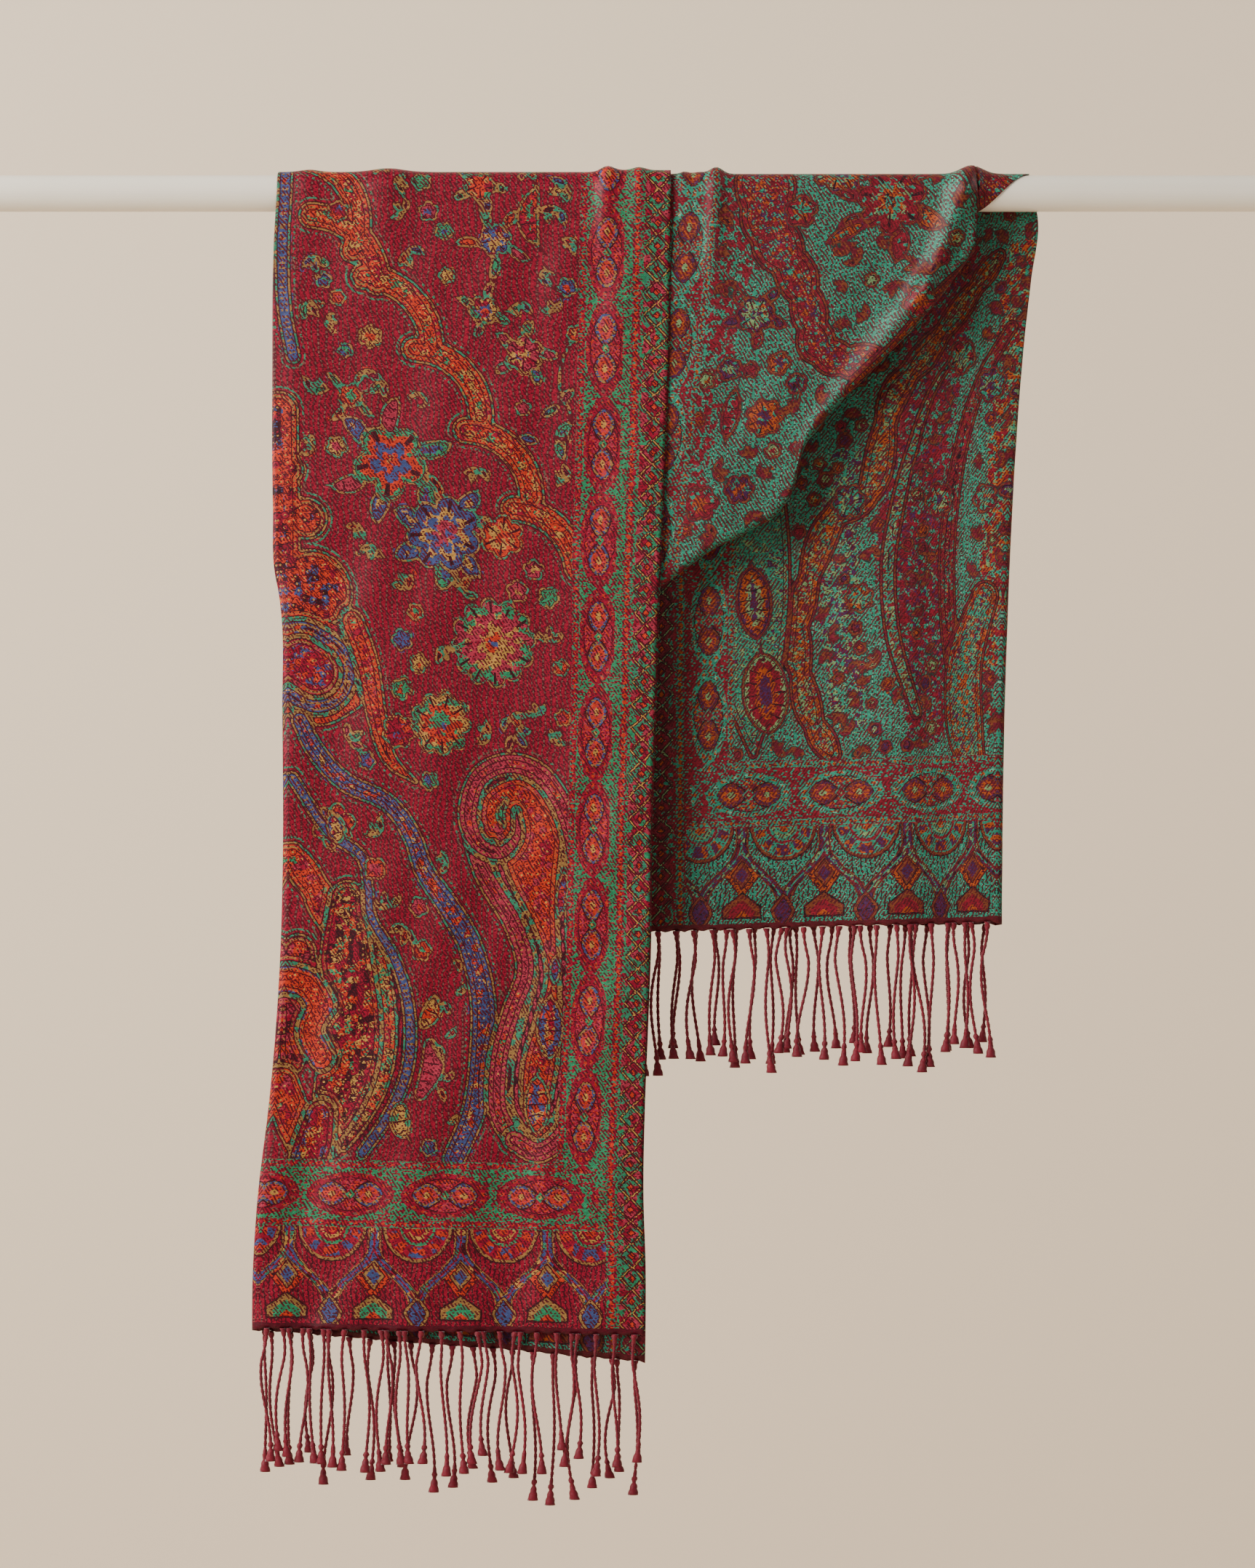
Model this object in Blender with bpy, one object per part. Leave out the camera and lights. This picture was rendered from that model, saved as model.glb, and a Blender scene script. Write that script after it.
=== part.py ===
"""A long silk shawl, folded in half lengthwise and hung over a round rail.

Metres, +Z up. The rail's axis is the X axis, the viewer stands at -Y, and the origin is the
middle of the rail. The tables and sizes below are in millimetres and are scaled when used.

A place on a draped stretch is given by three numbers: x along the rail; run, the way along
the cloth from the top of the rail, negative down the front and positive down the back; and
out, the distance from the rail's axis, or in a hanging stretch from the plane through it.
"""
import math
import random
from collections import namedtuple

import bmesh
import bpy
from mathutils import Vector

MM = 0.001

# The rail
RAIL_RADIUS = 12.7
RAIL_LENGTH = 1000.0
RAIL_SIDES = 48
RAIL_END_BEVEL = 1.5

# The cloth, and how its layers lie on the rail
WALL = 1.0
SEAM_GAP = 0.35
LAYER = WALL + SEAM_GAP
FIRST_LAYER = RAIL_RADIUS + SEAM_GAP + WALL / 2
QUARTER_RUN = math.pi / 2 * 14.0
UNDER_RAIL = -19.0
RED_SIDE = (0.23, 0.012, 0.022)
GREEN_SIDE = (0.035, 0.11, 0.09)
CREAM_PAINT = (0.80, 0.74, 0.64)

# The fall in front: two layers, folded together at the left
FRONT_HEM = (-793.6, -799.0)
FRONT_INNER_HEM = (-796.0, -818.0)
FRONT_INNER_SHOWS = 1.2

# The fall behind: two layers, folded together at the right
BACK_SELVEDGE = 1.2
BACK_HEM = (-512.0, -519.7)
BACK_OUTER_HEM = (-514.0, -516.0)

# How much further apart the two layers of a fall stand near the hem
SELVEDGE_SPREAD = 1.5
FOLD_SPREAD = 5.5

# The swag in front, whose lower edge is a rolled diagonal
SWAG_LEFT = 2.8
SWAG_RIGHT = 281.5
ROLL_ENDS_AT = 245.0
CORNER_COLUMNS = 9
CORNER_KEEPS = 0.75

# The swag behind
BACK_SWAG_LEFT = -240.0
BACK_SWAG_TOP_RIGHT = 29.0
BACK_SWAG_FOLD_RIGHT = -2.0
BACK_SWAG_COLUMNS = 16

# Fringe
STRIP_HEIGHT = 3.0
STRIP_DEPTH = 1.8
STRAND_WIDTH = 2.4
STRAND_LEAN = 3.0
TWIN_SPACING = 1.9

# Each ring of a strand: its share of the length, and its size beside the root's
STRAND_RINGS = [(0.33, 1.0), (0.66, 0.95), (0.9, 0.85), (1.0, 1.7)]

Edge = namedtuple("Edge", "z left right")
FRONT_FALL_EDGES = [
    Edge(0, -244.6, 30.3),
    Edge(-35, -246.6, 29.6),
    Edge(-120, -247.6, 28.0),
    Edge(-221, -247.1, 24.2),
    Edge(-272, -245.2, 21.8),
    Edge(-286, -242.0, 21.2),
    Edge(-364, -240.5, 18.8),
    Edge(-446, -240.0, 16.2),
    Edge(-530, -241.8, 15.2),
    Edge(-590, -245.4, 13.0),
    Edge(-640, -250.2, 11.0),
    Edge(-700, -257.4, 10.0),
    Edge(-752, -260.9, 11.5),
    Edge(-830, -261.4, 11.0),
]
BACK_FALL_EDGES = [
    Edge(0, BACK_SELVEDGE, 286.0),
    Edge(-16, BACK_SELVEDGE, 288.9),
    Edge(-58, BACK_SELVEDGE, 284.3),
    Edge(-99, BACK_SELVEDGE, 279.7),
    Edge(-140, BACK_SELVEDGE, 276.2),
    Edge(-221, BACK_SELVEDGE, 271.1),
    Edge(-323, BACK_SELVEDGE, 267.0),
    Edge(-446, BACK_SELVEDGE, 264.4),
    Edge(-530, BACK_SELVEDGE, 263.9),
]

Lower = namedtuple("Lower", "x z roll_radius")
FRONT_SWAG_LOWER_EDGE = [
    Lower(2.8, -287.0, 5.5),
    Lower(24.7, -274.9, 5.5),
    Lower(58.9, -250.4, 5.5),
    Lower(87.5, -235.6, 5.5),
    Lower(108.0, -221.0, 6.0),
    Lower(116.0, -207.0, 6.0),
    Lower(121.6, -184.0, 6.5),
    Lower(133.0, -166.0, 7.0),
    Lower(170.1, -126.0, 7.0),
    Lower(212.4, -81.1, 7.0),
    Lower(245.0, -38.0, 7.0),
]
BACK_SWAG_LOWER_EDGE = [
    Lower(-240, -27, 5.0),
    Lower(-215, -34, 5.0),
    Lower(-200, -44, 5.5),
    Lower(-150, -86, 6.0),
    Lower(-100, -134, 6.5),
    Lower(-50, -185, 7.0),
    Lower(-2, -236, 8.0),
]

# Folds, each from one place to another on the cloth, with its rise at both ends.
# A negative rise is a trough.
Fold = namedtuple("Fold", "x_from run_from x_to run_to half_width rise_from rise_to")
FRONT_FALL_FOLDS = [
    Fold(-222, 8, -226, -60, 9, 1.8, 0.6),
    Fold(-167, 10, -172, -90, 15, 2.8, 0.8),
    Fold(-13.5, 14, -18, -75, 6, 4.1, 0.8),
    Fold(8.4, 14, 7, -60, 6, 2.6, 0.5),
    Fold(-205, -250, -226, -800, 16, -0.6, -3.0),
    Fold(-140, -200, -150, -830, 38, 0.6, 3.4),
    Fold(-80, -300, -84, -830, 22, -0.4, -2.2),
    Fold(-24, -260, -34, -830, 34, 0.5, 2.6),
]
FRONT_SWAG_FOLDS = [
    Fold(40, 12, 40, -45, 4, 2.0, 0.6),
    Fold(50, 12, 50, -50, 5, 1.6, 0.4),
    Fold(63, 14, 58, -80, 6, 5.6, 1.2),
    Fold(246, 14, 235, -22, 10, 6.0, 6.0),
    Fold(235, -22, 208, -90, 9, 6.0, 6.5),
    Fold(208, -90, 128, -192, 9, 6.5, 3.0),
]
BACK_FALL_FOLDS = [
    Fold(75, 120, 70, 540, 22, -0.8, -3.0),
    Fold(135, 90, 130, 540, 30, 0.8, 3.0),
    Fold(192, 60, 188, 540, 22, -1.5, -3.2),
    Fold(232, 60, 226, 540, 18, 1.0, 2.5),
]
BACK_SWAG_FOLDS = [
    Fold(-150, 25, -70, 170, 14, 2.0, 3.0),
    Fold(-60, 24, -30, 180, 12, 2.5, 2.0),
]

# Rows of points: shares of the way from the rail down to the hem, and steps of each stretch
FRONT_FALL_ROWS = [1, 0.94, 0.88, 0.81, 0.74, 0.67, 0.56, 0.455, 0.36, 0.343, 0.27, 0.18, 0.11, 0.06, 0.025]
BACK_FALL_ROWS = [1, 0.86, 0.7, 0.55, 0.4, 0.27, 0.19, 0.11, 0.03, 0]
WRAP_STEPS = 10
HANG_STEPS = 9
ROLL_STEPS = 5
INSIDE_STEPS = 2
FOLD_TURN_STEPS = 6
COLUMN_STEP = 17.0
FOLD_COLUMNS = (-1.6, -0.7, 0, 0.7, 1.6)
HIDDEN_COLUMN_STEP = 27.0


def smooth_step(low, high, value):
    share = min(1, max(0, (value - low) / (high - low)))
    return share * share * (3 - 2 * share)


def between(ends, share):
    return ends[0] + (ends[1] - ends[0]) * share


def read_table(rows, key, value, at):
    """Reads a table between its rows, in straight lines, and holds the end values beyond them."""
    pairs = sorted((getattr(row, key), getattr(row, value)) for row in rows)
    if at <= pairs[0][0]:
        return pairs[0][1]
    for (low, first), (high, second) in zip(pairs, pairs[1:]):
        if at <= high:
            return first + (second - first) * (at - low) / (high - low)
    return pairs[-1][1]


def rise(folds, x, run):
    """How far the folds lift the cloth outwards at one place."""
    total = 0
    for fold in folds:
        along_x = fold.x_to - fold.x_from
        along_run = fold.run_to - fold.run_from
        length_squared = along_x**2 + along_run**2
        share = ((x - fold.x_from) * along_x + (run - fold.run_from) * along_run) / length_squared
        share = min(1, max(0, share))
        off = math.hypot(x - fold.x_from - along_x * share, run - fold.run_from - along_run * share)
        total += between((fold.rise_from, fold.rise_to), share) * math.exp(-((off / fold.half_width) ** 2))
    return total


def on_cloth(x, run, out):
    """The point at x, run and out, in millimetres."""
    if run < -QUARTER_RUN:
        return Vector((x, -out, run + QUARTER_RUN))
    if run > QUARTER_RUN:
        return Vector((x, out, QUARTER_RUN - run))
    angle = -run / QUARTER_RUN * math.pi / 2
    return Vector((x, -out * math.sin(angle), out * math.cos(angle)))


def columns(left, right, step, folds=()):
    """Places along x, evenly spread, with more of them at each narrow fold that starts on the rail."""
    places = [left, right]
    for fold in folds:
        if fold.half_width < step and abs(fold.run_from) < QUARTER_RUN:
            places += [fold.x_from + share * fold.half_width for share in FOLD_COLUMNS]
    count = max(2, round((right - left) / step))
    for index in range(1, count):
        place = between((left, right), index / count)
        if min(abs(place - other) for other in places) > step * 0.45:
            places.append(place)
    return sorted(place for place in places if left <= place <= right)


def new_material(name, color, roughness):
    material = bpy.data.materials.new(name)
    material.use_nodes = True
    shader = material.node_tree.nodes["Principled BSDF"]
    shader.inputs["Base Color"].default_value = (*color, 1)
    shader.inputs["Roughness"].default_value = roughness
    shader.inputs["Metallic"].default_value = 0
    return material


def new_object(name, shape, color, roughness):
    """Makes an object of the bmesh, with its faces out and a material of its own."""
    shape.normal_update()
    bmesh.ops.recalc_face_normals(shape, faces=shape.faces)
    mesh = bpy.data.meshes.new(name)
    shape.to_mesh(mesh)
    shape.free()
    mesh.shade_smooth()
    mesh.materials.append(new_material(name, color, roughness))
    made = bpy.data.objects.new(name, mesh)
    bpy.context.scene.collection.objects.link(made)
    return made


def cloth_wall(name, across, along, place, color):
    """A wall of cloth: a grid whose points place() finds, thickened evenly to both sides."""
    shape = bmesh.new()
    bmesh.ops.create_grid(shape, x_segments=len(across) - 1, y_segments=len(along) - 1, size=0.5)
    for point in shape.verts:
        column = round((point.co.x + 0.5) * (len(across) - 1))
        row = round((point.co.y + 0.5) * (len(along) - 1))
        point.co = place(across[column], along[row]) * MM
    made = new_object(name, shape, color, 0.6)
    thicken = made.modifiers.new("Cloth thickness", "SOLIDIFY")
    thicken.thickness = WALL * MM
    thicken.offset = 0


def make_rail():
    """The rail: a plain round bar with eased ends."""
    shape = bmesh.new()
    bmesh.ops.create_cone(
        shape,
        cap_ends=True,
        segments=RAIL_SIDES,
        radius1=RAIL_RADIUS * MM,
        radius2=RAIL_RADIUS * MM,
        depth=RAIL_LENGTH * MM,
    )
    rims = [edge for edge in shape.edges if abs(edge.verts[0].co.z - edge.verts[1].co.z) < MM]
    bmesh.ops.bevel(
        shape, geom=rims, offset=RAIL_END_BEVEL * MM, segments=2, profile=0.5, affect="EDGES", material=-1
    )
    for point in shape.verts:
        point.co = Vector((point.co.z, point.co.x, point.co.y))
    rail = new_object("rail", shape, CREAM_PAINT, 0.25)
    rail.data.set_sharp_from_angle(angle=math.radians(40))


Fall = namedtuple("Fall", "name side edges hem inner_hem inner_shows out")
Across = namedtuple("Across", "outer share turn")


def spread(hang, edge_share, grows_by):
    """How much further apart two layers stand at this height, most at their folded edge."""
    return smooth_step(0, grows_by, hang) * (SELVEDGE_SPREAD + FOLD_SPREAD * edge_share)


def front_fall_out(x, run, outer):
    """The distance out of the front fall's layers. Near its selvedge it lies on the front swag, and
    behind the rail on the back fall too."""
    layers_under = smooth_step(-24, -6, x) * (1 + smooth_step(-2, 14, run))
    out = FIRST_LAYER + LAYER * layers_under + rise(FRONT_FALL_FOLDS, x, run)
    if outer:
        out += LAYER + spread(max(0, -run - QUARTER_RUN), smooth_step(20, -240, x), 400)
    return out


def back_fall_out(x, run, outer):
    """The distance out of the back fall's layers. The outer one is further from the rail."""
    out = FIRST_LAYER + smooth_step(40, 160, run) * rise(BACK_FALL_FOLDS, x, run)
    if outer:
        out += LAYER + spread(max(0, run - QUARTER_RUN), smooth_step(0, 270, x), 300)
    return out


def front_swag_out(x, run):
    """The distance out of the front swag. Behind the rail it widens to lie over the back fall."""
    return FIRST_LAYER + LAYER * smooth_step(2, 18, run) + rise(FRONT_SWAG_FOLDS, x, run)


def back_swag_out(x, run):
    """The distance out of the back swag, which goes on from the front fall's outer layer."""
    out = front_fall_out(x, QUARTER_RUN, True)
    return out + smooth_step(QUARTER_RUN, 60, run) * rise(BACK_SWAG_FOLDS, x, run)


FRONT_FALL = Fall(
    "front_fall", -1, FRONT_FALL_EDGES, FRONT_HEM, FRONT_INNER_HEM, FRONT_INNER_SHOWS, front_fall_out
)
BACK_FALL = Fall("back_fall", 1, BACK_FALL_EDGES, BACK_OUTER_HEM, BACK_HEM, 0, back_fall_out)


def fall_hem(fall, across):
    """The height of the hem at one place across. A fall's hems are told from the fold to the selvedge."""
    if across.turn is None:
        return between(fall.hem if across.outer else fall.inner_hem, across.share)
    return between((fall.hem[0], fall.inner_hem[0]), across.turn)


def fall_point(fall, across, z, run):
    """One point of a fall, by its share of the width from the folded edge to the selvedge, or by its
    turn round the fold, from 0 on the outer layer to 1 on the inner."""
    left = read_table(fall.edges, "z", "left", min(0, z))
    right = read_table(fall.edges, "z", "right", min(0, z))
    folded, selvedge = (left, right) if fall.side < 0 else (right, left)
    outer, inner = fall.out(folded, run, True), fall.out(folded, run, False)
    half = (outer - inner) / 2
    turn_in = -half * fall.side
    if across.turn is not None:
        angle = math.pi * across.turn
        x = folded + turn_in * (1 - math.sin(angle))
        return on_cloth(x, run, (outer + inner) / 2 + half * math.cos(angle))
    x = between((folded + turn_in, selvedge), across.share)
    shows = 0 if across.outer else fall.inner_shows * across.share * smooth_step(0, -20, z)
    return on_cloth(x + shows, run, fall.out(x, run, across.outer))


def two_layers(outer_shares, inner_shares):
    """Places across a folded fall, from the outer selvedge round the fold to the inner selvedge."""
    across = [Across(True, share, None) for share in reversed(outer_shares)]
    across += [Across(True, 0, step / FOLD_TURN_STEPS) for step in range(FOLD_TURN_STEPS + 1)]
    return across + [Across(False, share, None) for share in inner_shares]


def make_front_fall():
    """Both layers of the front fall, from the hems up over the rail to its back."""
    left, right = FRONT_FALL_EDGES[0].left, FRONT_FALL_EDGES[0].right
    outer = [(x - left) / (right - left) for x in columns(left, right, COLUMN_STEP, FRONT_FALL_FOLDS)[1:]]
    inner = [(x - left) / (right - left) for x in columns(left, right, HIDDEN_COLUMN_STEP)[1:]]
    wrap = [-QUARTER_RUN * (2 * step / WRAP_STEPS - 1) for step in range(WRAP_STEPS + 1)]

    def place(across, row):
        hanging, amount = row
        if not hanging:
            return fall_point(FRONT_FALL, across, 0, -amount)
        z = fall_hem(FRONT_FALL, across) * amount
        return fall_point(FRONT_FALL, across, z, z - QUARTER_RUN)

    along = [(True, share) for share in FRONT_FALL_ROWS] + [(False, run) for run in wrap]
    cloth_wall("front_fall", two_layers(outer, inner), along, place, RED_SIDE)


def make_back_fall():
    """Both layers of the back fall, from behind the rail down to the hems."""
    count = round((BACK_FALL_EDGES[0].right - BACK_SELVEDGE) / COLUMN_STEP)
    shares = [step / count for step in range(1, count + 1)]

    def place(across, share_down):
        z = -SEAM_GAP + (fall_hem(BACK_FALL, across) + SEAM_GAP) * share_down
        return fall_point(BACK_FALL, across, z, QUARTER_RUN - z)

    cloth_wall("back_fall", two_layers(shares, shares), BACK_FALL_ROWS, place, GREEN_SIDE)


def rolled_inside(start, side, radius):
    """The rest of a swag's column, from the start of its roll: round it and up inside to the rail."""
    centre = start.y - side * radius
    path = []
    for step in range(1, ROLL_STEPS + 1):
        angle = math.pi * step / ROLL_STEPS
        path.append(
            Vector((start.x, centre + side * radius * math.cos(angle), start.z - radius * math.sin(angle)))
        )
    for step in range(1, INSIDE_STEPS + 1):
        path.append(
            Vector((start.x, centre - side * radius, between((start.z, UNDER_RAIL), step / INSIDE_STEPS)))
        )
    return path


def front_swag_column(x):
    """One column of the front swag: over the rail from behind, down, round the roll and up inside."""
    radius = read_table(FRONT_SWAG_LOWER_EDGE, "x", "roll_radius", x)
    roll_starts = -QUARTER_RUN + read_table(FRONT_SWAG_LOWER_EDGE, "x", "z", x) + radius
    first = QUARTER_RUN - SEAM_GAP
    runs = [between((first, -QUARTER_RUN), step / WRAP_STEPS) for step in range(WRAP_STEPS)]
    runs += [between((-QUARTER_RUN, roll_starts), step / HANG_STEPS) for step in range(HANG_STEPS + 1)]
    path = [on_cloth(x, run, front_swag_out(x, run)) for run in runs]
    return path + rolled_inside(path[-1], -1, radius)


def make_front_swag():
    """The swag in front. Right of where its roll ends, its edge climbs round the rail to the top."""
    places = columns(SWAG_LEFT, ROLL_ENDS_AT, COLUMN_STEP, FRONT_SWAG_FOLDS)
    places += [
        between((ROLL_ENDS_AT, SWAG_RIGHT), step / CORNER_COLUMNS) for step in range(1, CORNER_COLUMNS + 1)
    ]
    whole = front_swag_column(ROLL_ENDS_AT)
    lengths = [0]
    for first, second in zip(whole, whole[1:]):
        lengths.append(lengths[-1] + (second - first).length)
    first = QUARTER_RUN - SEAM_GAP
    last_runs = (-1.8 * QUARTER_RUN, -0.1 * QUARTER_RUN)

    def place(x, row):
        if x <= ROLL_ENDS_AT:
            return front_swag_column(x)[row]
        past = (x - ROLL_ENDS_AT) / (SWAG_RIGHT - ROLL_ENDS_AT)
        whole_length = first - between(last_runs, past)
        kept = CORNER_KEEPS * whole_length
        length = lengths[row]
        if length > kept:
            length = between((kept, whole_length), (length - kept) / (lengths[-1] - kept))
        angle = (length - first) / QUARTER_RUN * math.pi / 2
        out = front_swag_out(x, first - length)
        return Vector((x, -out * math.sin(angle), out * math.cos(angle)))

    cloth_wall("front_swag", places, list(range(len(whole))), place, GREEN_SIDE)


def make_back_swag():
    """The swag behind: from the back of the rail down to its diagonal fold and up inside it."""
    first = QUARTER_RUN + SEAM_GAP

    def column(share):
        fold_x = between((BACK_SWAG_LEFT, BACK_SWAG_FOLD_RIGHT), share)
        top_x = between((BACK_SWAG_LEFT, BACK_SWAG_TOP_RIGHT), share)
        radius = read_table(BACK_SWAG_LOWER_EDGE, "x", "roll_radius", fold_x)
        roll_starts = QUARTER_RUN - read_table(BACK_SWAG_LOWER_EDGE, "x", "z", fold_x) - radius
        path = []
        for step in range(HANG_STEPS + 1):
            down = step / HANG_STEPS
            run = between((first, roll_starts), down)
            x = between((top_x, fold_x), smooth_step(0, 1, down))
            path.append(on_cloth(x, run, back_swag_out(x, run)))
        return path + rolled_inside(path[-1], 1, radius)

    shares = [step / BACK_SWAG_COLUMNS for step in range(BACK_SWAG_COLUMNS + 1)]
    rows = list(range(HANG_STEPS + 1 + ROLL_STEPS + INSIDE_STEPS))
    cloth_wall("back_swag", shares, rows, lambda share, row: column(share)[row], RED_SIDE)


Strand = namedtuple("Strand", "x sway bow length")
Fringe = namedtuple("Fringe", "name fall outer lean seed roots twins length ragged")
FRINGES = [
    Fringe("fringe_front_outer", FRONT_FALL, True, -1, 3, 20, 0.35, 88, 0.12),
    Fringe("fringe_front_inner", FRONT_FALL, False, 1, 8, 19, 0.1, 92, 0.14),
    Fringe("fringe_back_inner", BACK_FALL, False, -1, 5, 20, 0.3, 92, 0.09),
    Fringe("fringe_back_outer", BACK_FALL, True, 1, 12, 19, 0.1, 90, 0.1),
]


def hem_point(fall, outer, share):
    """A point of a hem, by its share of the way from the folded edge to the selvedge."""
    across = Across(outer, share, None)
    z = fall_hem(fall, across)
    return fall_point(fall, across, z, (QUARTER_RUN - z) * fall.side)


def fringe_strands(fringe, left, right):
    """The strands along one hem. Some roots carry two, which stand a little apart."""
    draw = random.Random(fringe.seed)
    pitch = (right - left) / fringe.roots
    strands = []
    for root in range(fringe.roots):
        x = left + pitch * (root + 0.5) + draw.uniform(-0.8, 0.8)
        sway = draw.uniform(-2.6, 2.6)
        bow = draw.uniform(-1.4, 1.4)
        length = fringe.length * draw.uniform(1 - fringe.ragged, 1 + fringe.ragged)
        if draw.random() > fringe.twins:
            strands.append(Strand(x, sway, bow, length))
            continue
        strands.append(Strand(x - TWIN_SPACING, sway - TWIN_SPACING, bow, length))
        strands.append(Strand(x + TWIN_SPACING, sway + TWIN_SPACING, bow, length * draw.uniform(0.93, 1.05)))
    return strands


def extruded(shape, face, move):
    """Draws one face out, with each corner of its copy moved to where move() says. The face goes."""
    copy = bmesh.ops.extrude_discrete_faces(shape, faces=[face])["faces"][0]
    for point in copy.verts:
        point.co = move(point.co)
    return copy


def make_fringe(fringe):
    """One fringe: a narrow strip just under the hem, with each strand drawn down from its underside."""
    fall = fringe.fall
    folded, selvedge = hem_point(fall, fringe.outer, 0).x, hem_point(fall, fringe.outer, 1).x
    left, right = sorted((folded, selvedge))
    strands = fringe_strands(fringe, left, right)
    half = STRAND_WIDTH / 2
    cuts = sorted([left, right] + [strand.x + side * half for strand in strands for side in (-1, 1)])

    def hem_at(x):
        point = hem_point(fall, fringe.outer, (x - folded) / (selvedge - folded))
        return Vector((x, point.y, point.z - SEAM_GAP))

    def section(x):
        deep = Vector((0, STRIP_DEPTH / 2, 0))
        down = Vector((0, 0, -STRIP_HEIGHT))
        top = hem_at(x)
        return [point * MM for point in (top - deep, top + deep, top + deep + down, top - deep + down)]

    shape = bmesh.new()
    face = shape.faces.new([shape.verts.new(point) for point in section(cuts[0])])
    for start, end in zip(cuts, cuts[1:]):
        moves = {tuple(old): new for old, new in zip(section(start), section(end))}
        face = extruded(shape, face, lambda corner: moves[tuple(corner)])
    bmesh.ops.holes_fill(shape, edges=[edge for edge in shape.edges if edge.is_boundary], sides=4)
    shape.normal_update()
    bmesh.ops.recalc_face_normals(shape, faces=shape.faces)

    undersides = [side for side in shape.faces if side.normal.z < -0.7]
    for strand in strands:
        root = hem_at(strand.x) - Vector((0, 0, STRIP_HEIGHT))
        face = min(undersides, key=lambda side: abs(side.calc_center_median().x - strand.x * MM))
        undersides.remove(face)
        middle, size = root, 1
        for share, next_size in STRAND_RINGS:
            aside = strand.sway * share + strand.bow * math.sin(math.pi * share)
            ring = root + Vector((aside, fringe.lean * STRAND_LEAN * share, -strand.length * share))

            def move(corner):
                offset = corner / MM - middle
                return (ring + Vector((offset.x, offset.y, 0)) * (next_size / size)) * MM

            face = extruded(shape, face, move)
            middle, size = ring, next_size
    new_object(fringe.name, shape, RED_SIDE, 0.7)


def clear_scene():
    for made in list(bpy.data.objects):
        bpy.data.objects.remove(made)


def main():
    clear_scene()
    make_rail()
    make_front_fall()
    make_back_fall()
    make_front_swag()
    make_back_swag()
    for fringe in FRINGES:
        make_fringe(fringe)


main()
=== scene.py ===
"""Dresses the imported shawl: its cloth, its woven pattern, its fringe and the rail it hangs on.

Tables and sizes are in millimetres and are scaled when used. A place on a draped stretch is
x along the rail, run along the cloth from the top of the rail (negative down the front), and
out from the rail's axis. A place on the flat cloth is w from its long edge and d from its hem.
"""

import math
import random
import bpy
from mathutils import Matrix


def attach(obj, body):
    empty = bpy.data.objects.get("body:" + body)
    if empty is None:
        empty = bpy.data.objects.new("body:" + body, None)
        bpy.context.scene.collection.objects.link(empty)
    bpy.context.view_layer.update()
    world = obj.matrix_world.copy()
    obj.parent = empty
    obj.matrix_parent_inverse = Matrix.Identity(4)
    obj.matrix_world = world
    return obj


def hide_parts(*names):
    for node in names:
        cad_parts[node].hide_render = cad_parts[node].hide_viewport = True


bl_info = {
    "name": "Silk shawl on a rail",
    "version": (1, 0, 0),
    "blender": (4, 5, 0),
    "location": "3D View > Sidebar > Shawl",
    "description": "Makes the cloth, woven pattern, fringe and setting of a shawl that hangs on a rail",
    "category": "Add Mesh",
}

from collections import namedtuple

import bmesh
import bpy
import numpy as np
from mathutils import Vector

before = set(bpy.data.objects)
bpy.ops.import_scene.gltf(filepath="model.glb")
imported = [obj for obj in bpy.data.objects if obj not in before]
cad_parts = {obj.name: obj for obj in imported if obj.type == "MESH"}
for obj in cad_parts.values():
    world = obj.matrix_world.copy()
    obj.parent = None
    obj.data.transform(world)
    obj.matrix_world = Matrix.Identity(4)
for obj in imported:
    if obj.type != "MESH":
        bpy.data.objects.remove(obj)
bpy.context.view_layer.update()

MM = 0.001

# The photograph, and how the camera and the stage stand, in metres
IMAGE_HEIGHT = 2156
PIXEL = 0.51 * MM
SENSOR = 36
CAMERA_AWAY = 3.0
CAMERA_HEIGHT = -0.414
STAGE_HALF = 6
WALL_AWAY = 3.6
FLOOR_HEIGHT = -2.2

# How the layers lie on the rail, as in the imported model
RAIL_RADIUS = 12.7
WALL = 1.0
SEAM_GAP = 0.35
LAYER = WALL + SEAM_GAP
FIRST_LAYER = RAIL_RADIUS + SEAM_GAP + WALL / 2
BEND_RADIUS = 14.0
QUARTER_RUN = math.pi / 2 * BEND_RADIUS
UNDER_RAIL = -19.0
HALF_WIDTH = 271.0

FRONT_HEM = (-793.6, -799.0)
FRONT_INNER_HEM = (-796.0, -818.0)
FRONT_INNER_SHOWS = 1.2
BACK_SELVEDGE = 1.2
BACK_HEM = (-512.0, -519.7)
BACK_OUTER_HEM = (-514.0, -516.0)
SELVEDGE_SPREAD = 1.5
FOLD_SPREAD = 5.5
SWAG_LEFT = 2.8
SWAG_RIGHT = 281.5
ROLL_ENDS_AT = 245.0
CORNER_KEEPS = 0.75
BACK_SWAG_LEFT = -240.0
BACK_SWAG_TOP_RIGHT = 29.0
BACK_SWAG_FOLD_RIGHT = -2.0
STRAND_LEAN = 3.0
TWIN_SPACING = 1.9
FRONT_DROP = 797
BACK_DROP = 515
HEM_ROOTS = 20

# Where the swags begin on the flat cloth, from the hem, and how far the front one slants
FRONT_SWAG_STARTS = 538
FRONT_SWAG_SLANT = 0.11
BACK_SWAG_STARTS = 841

# How much coarser the grid of a hidden layer is, and the steps round a fold, a roll and a strand
FRONT_HIDDEN_STEP = 1.7
BACK_HIDDEN_STEP = 1.6
BACK_SWAG_STEP = 1.5
FOLD_STEPS = 8
ROLL_STEPS = 10
STRAND_SIDES = 8
STRAND_RING_STEP = 1.5

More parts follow.
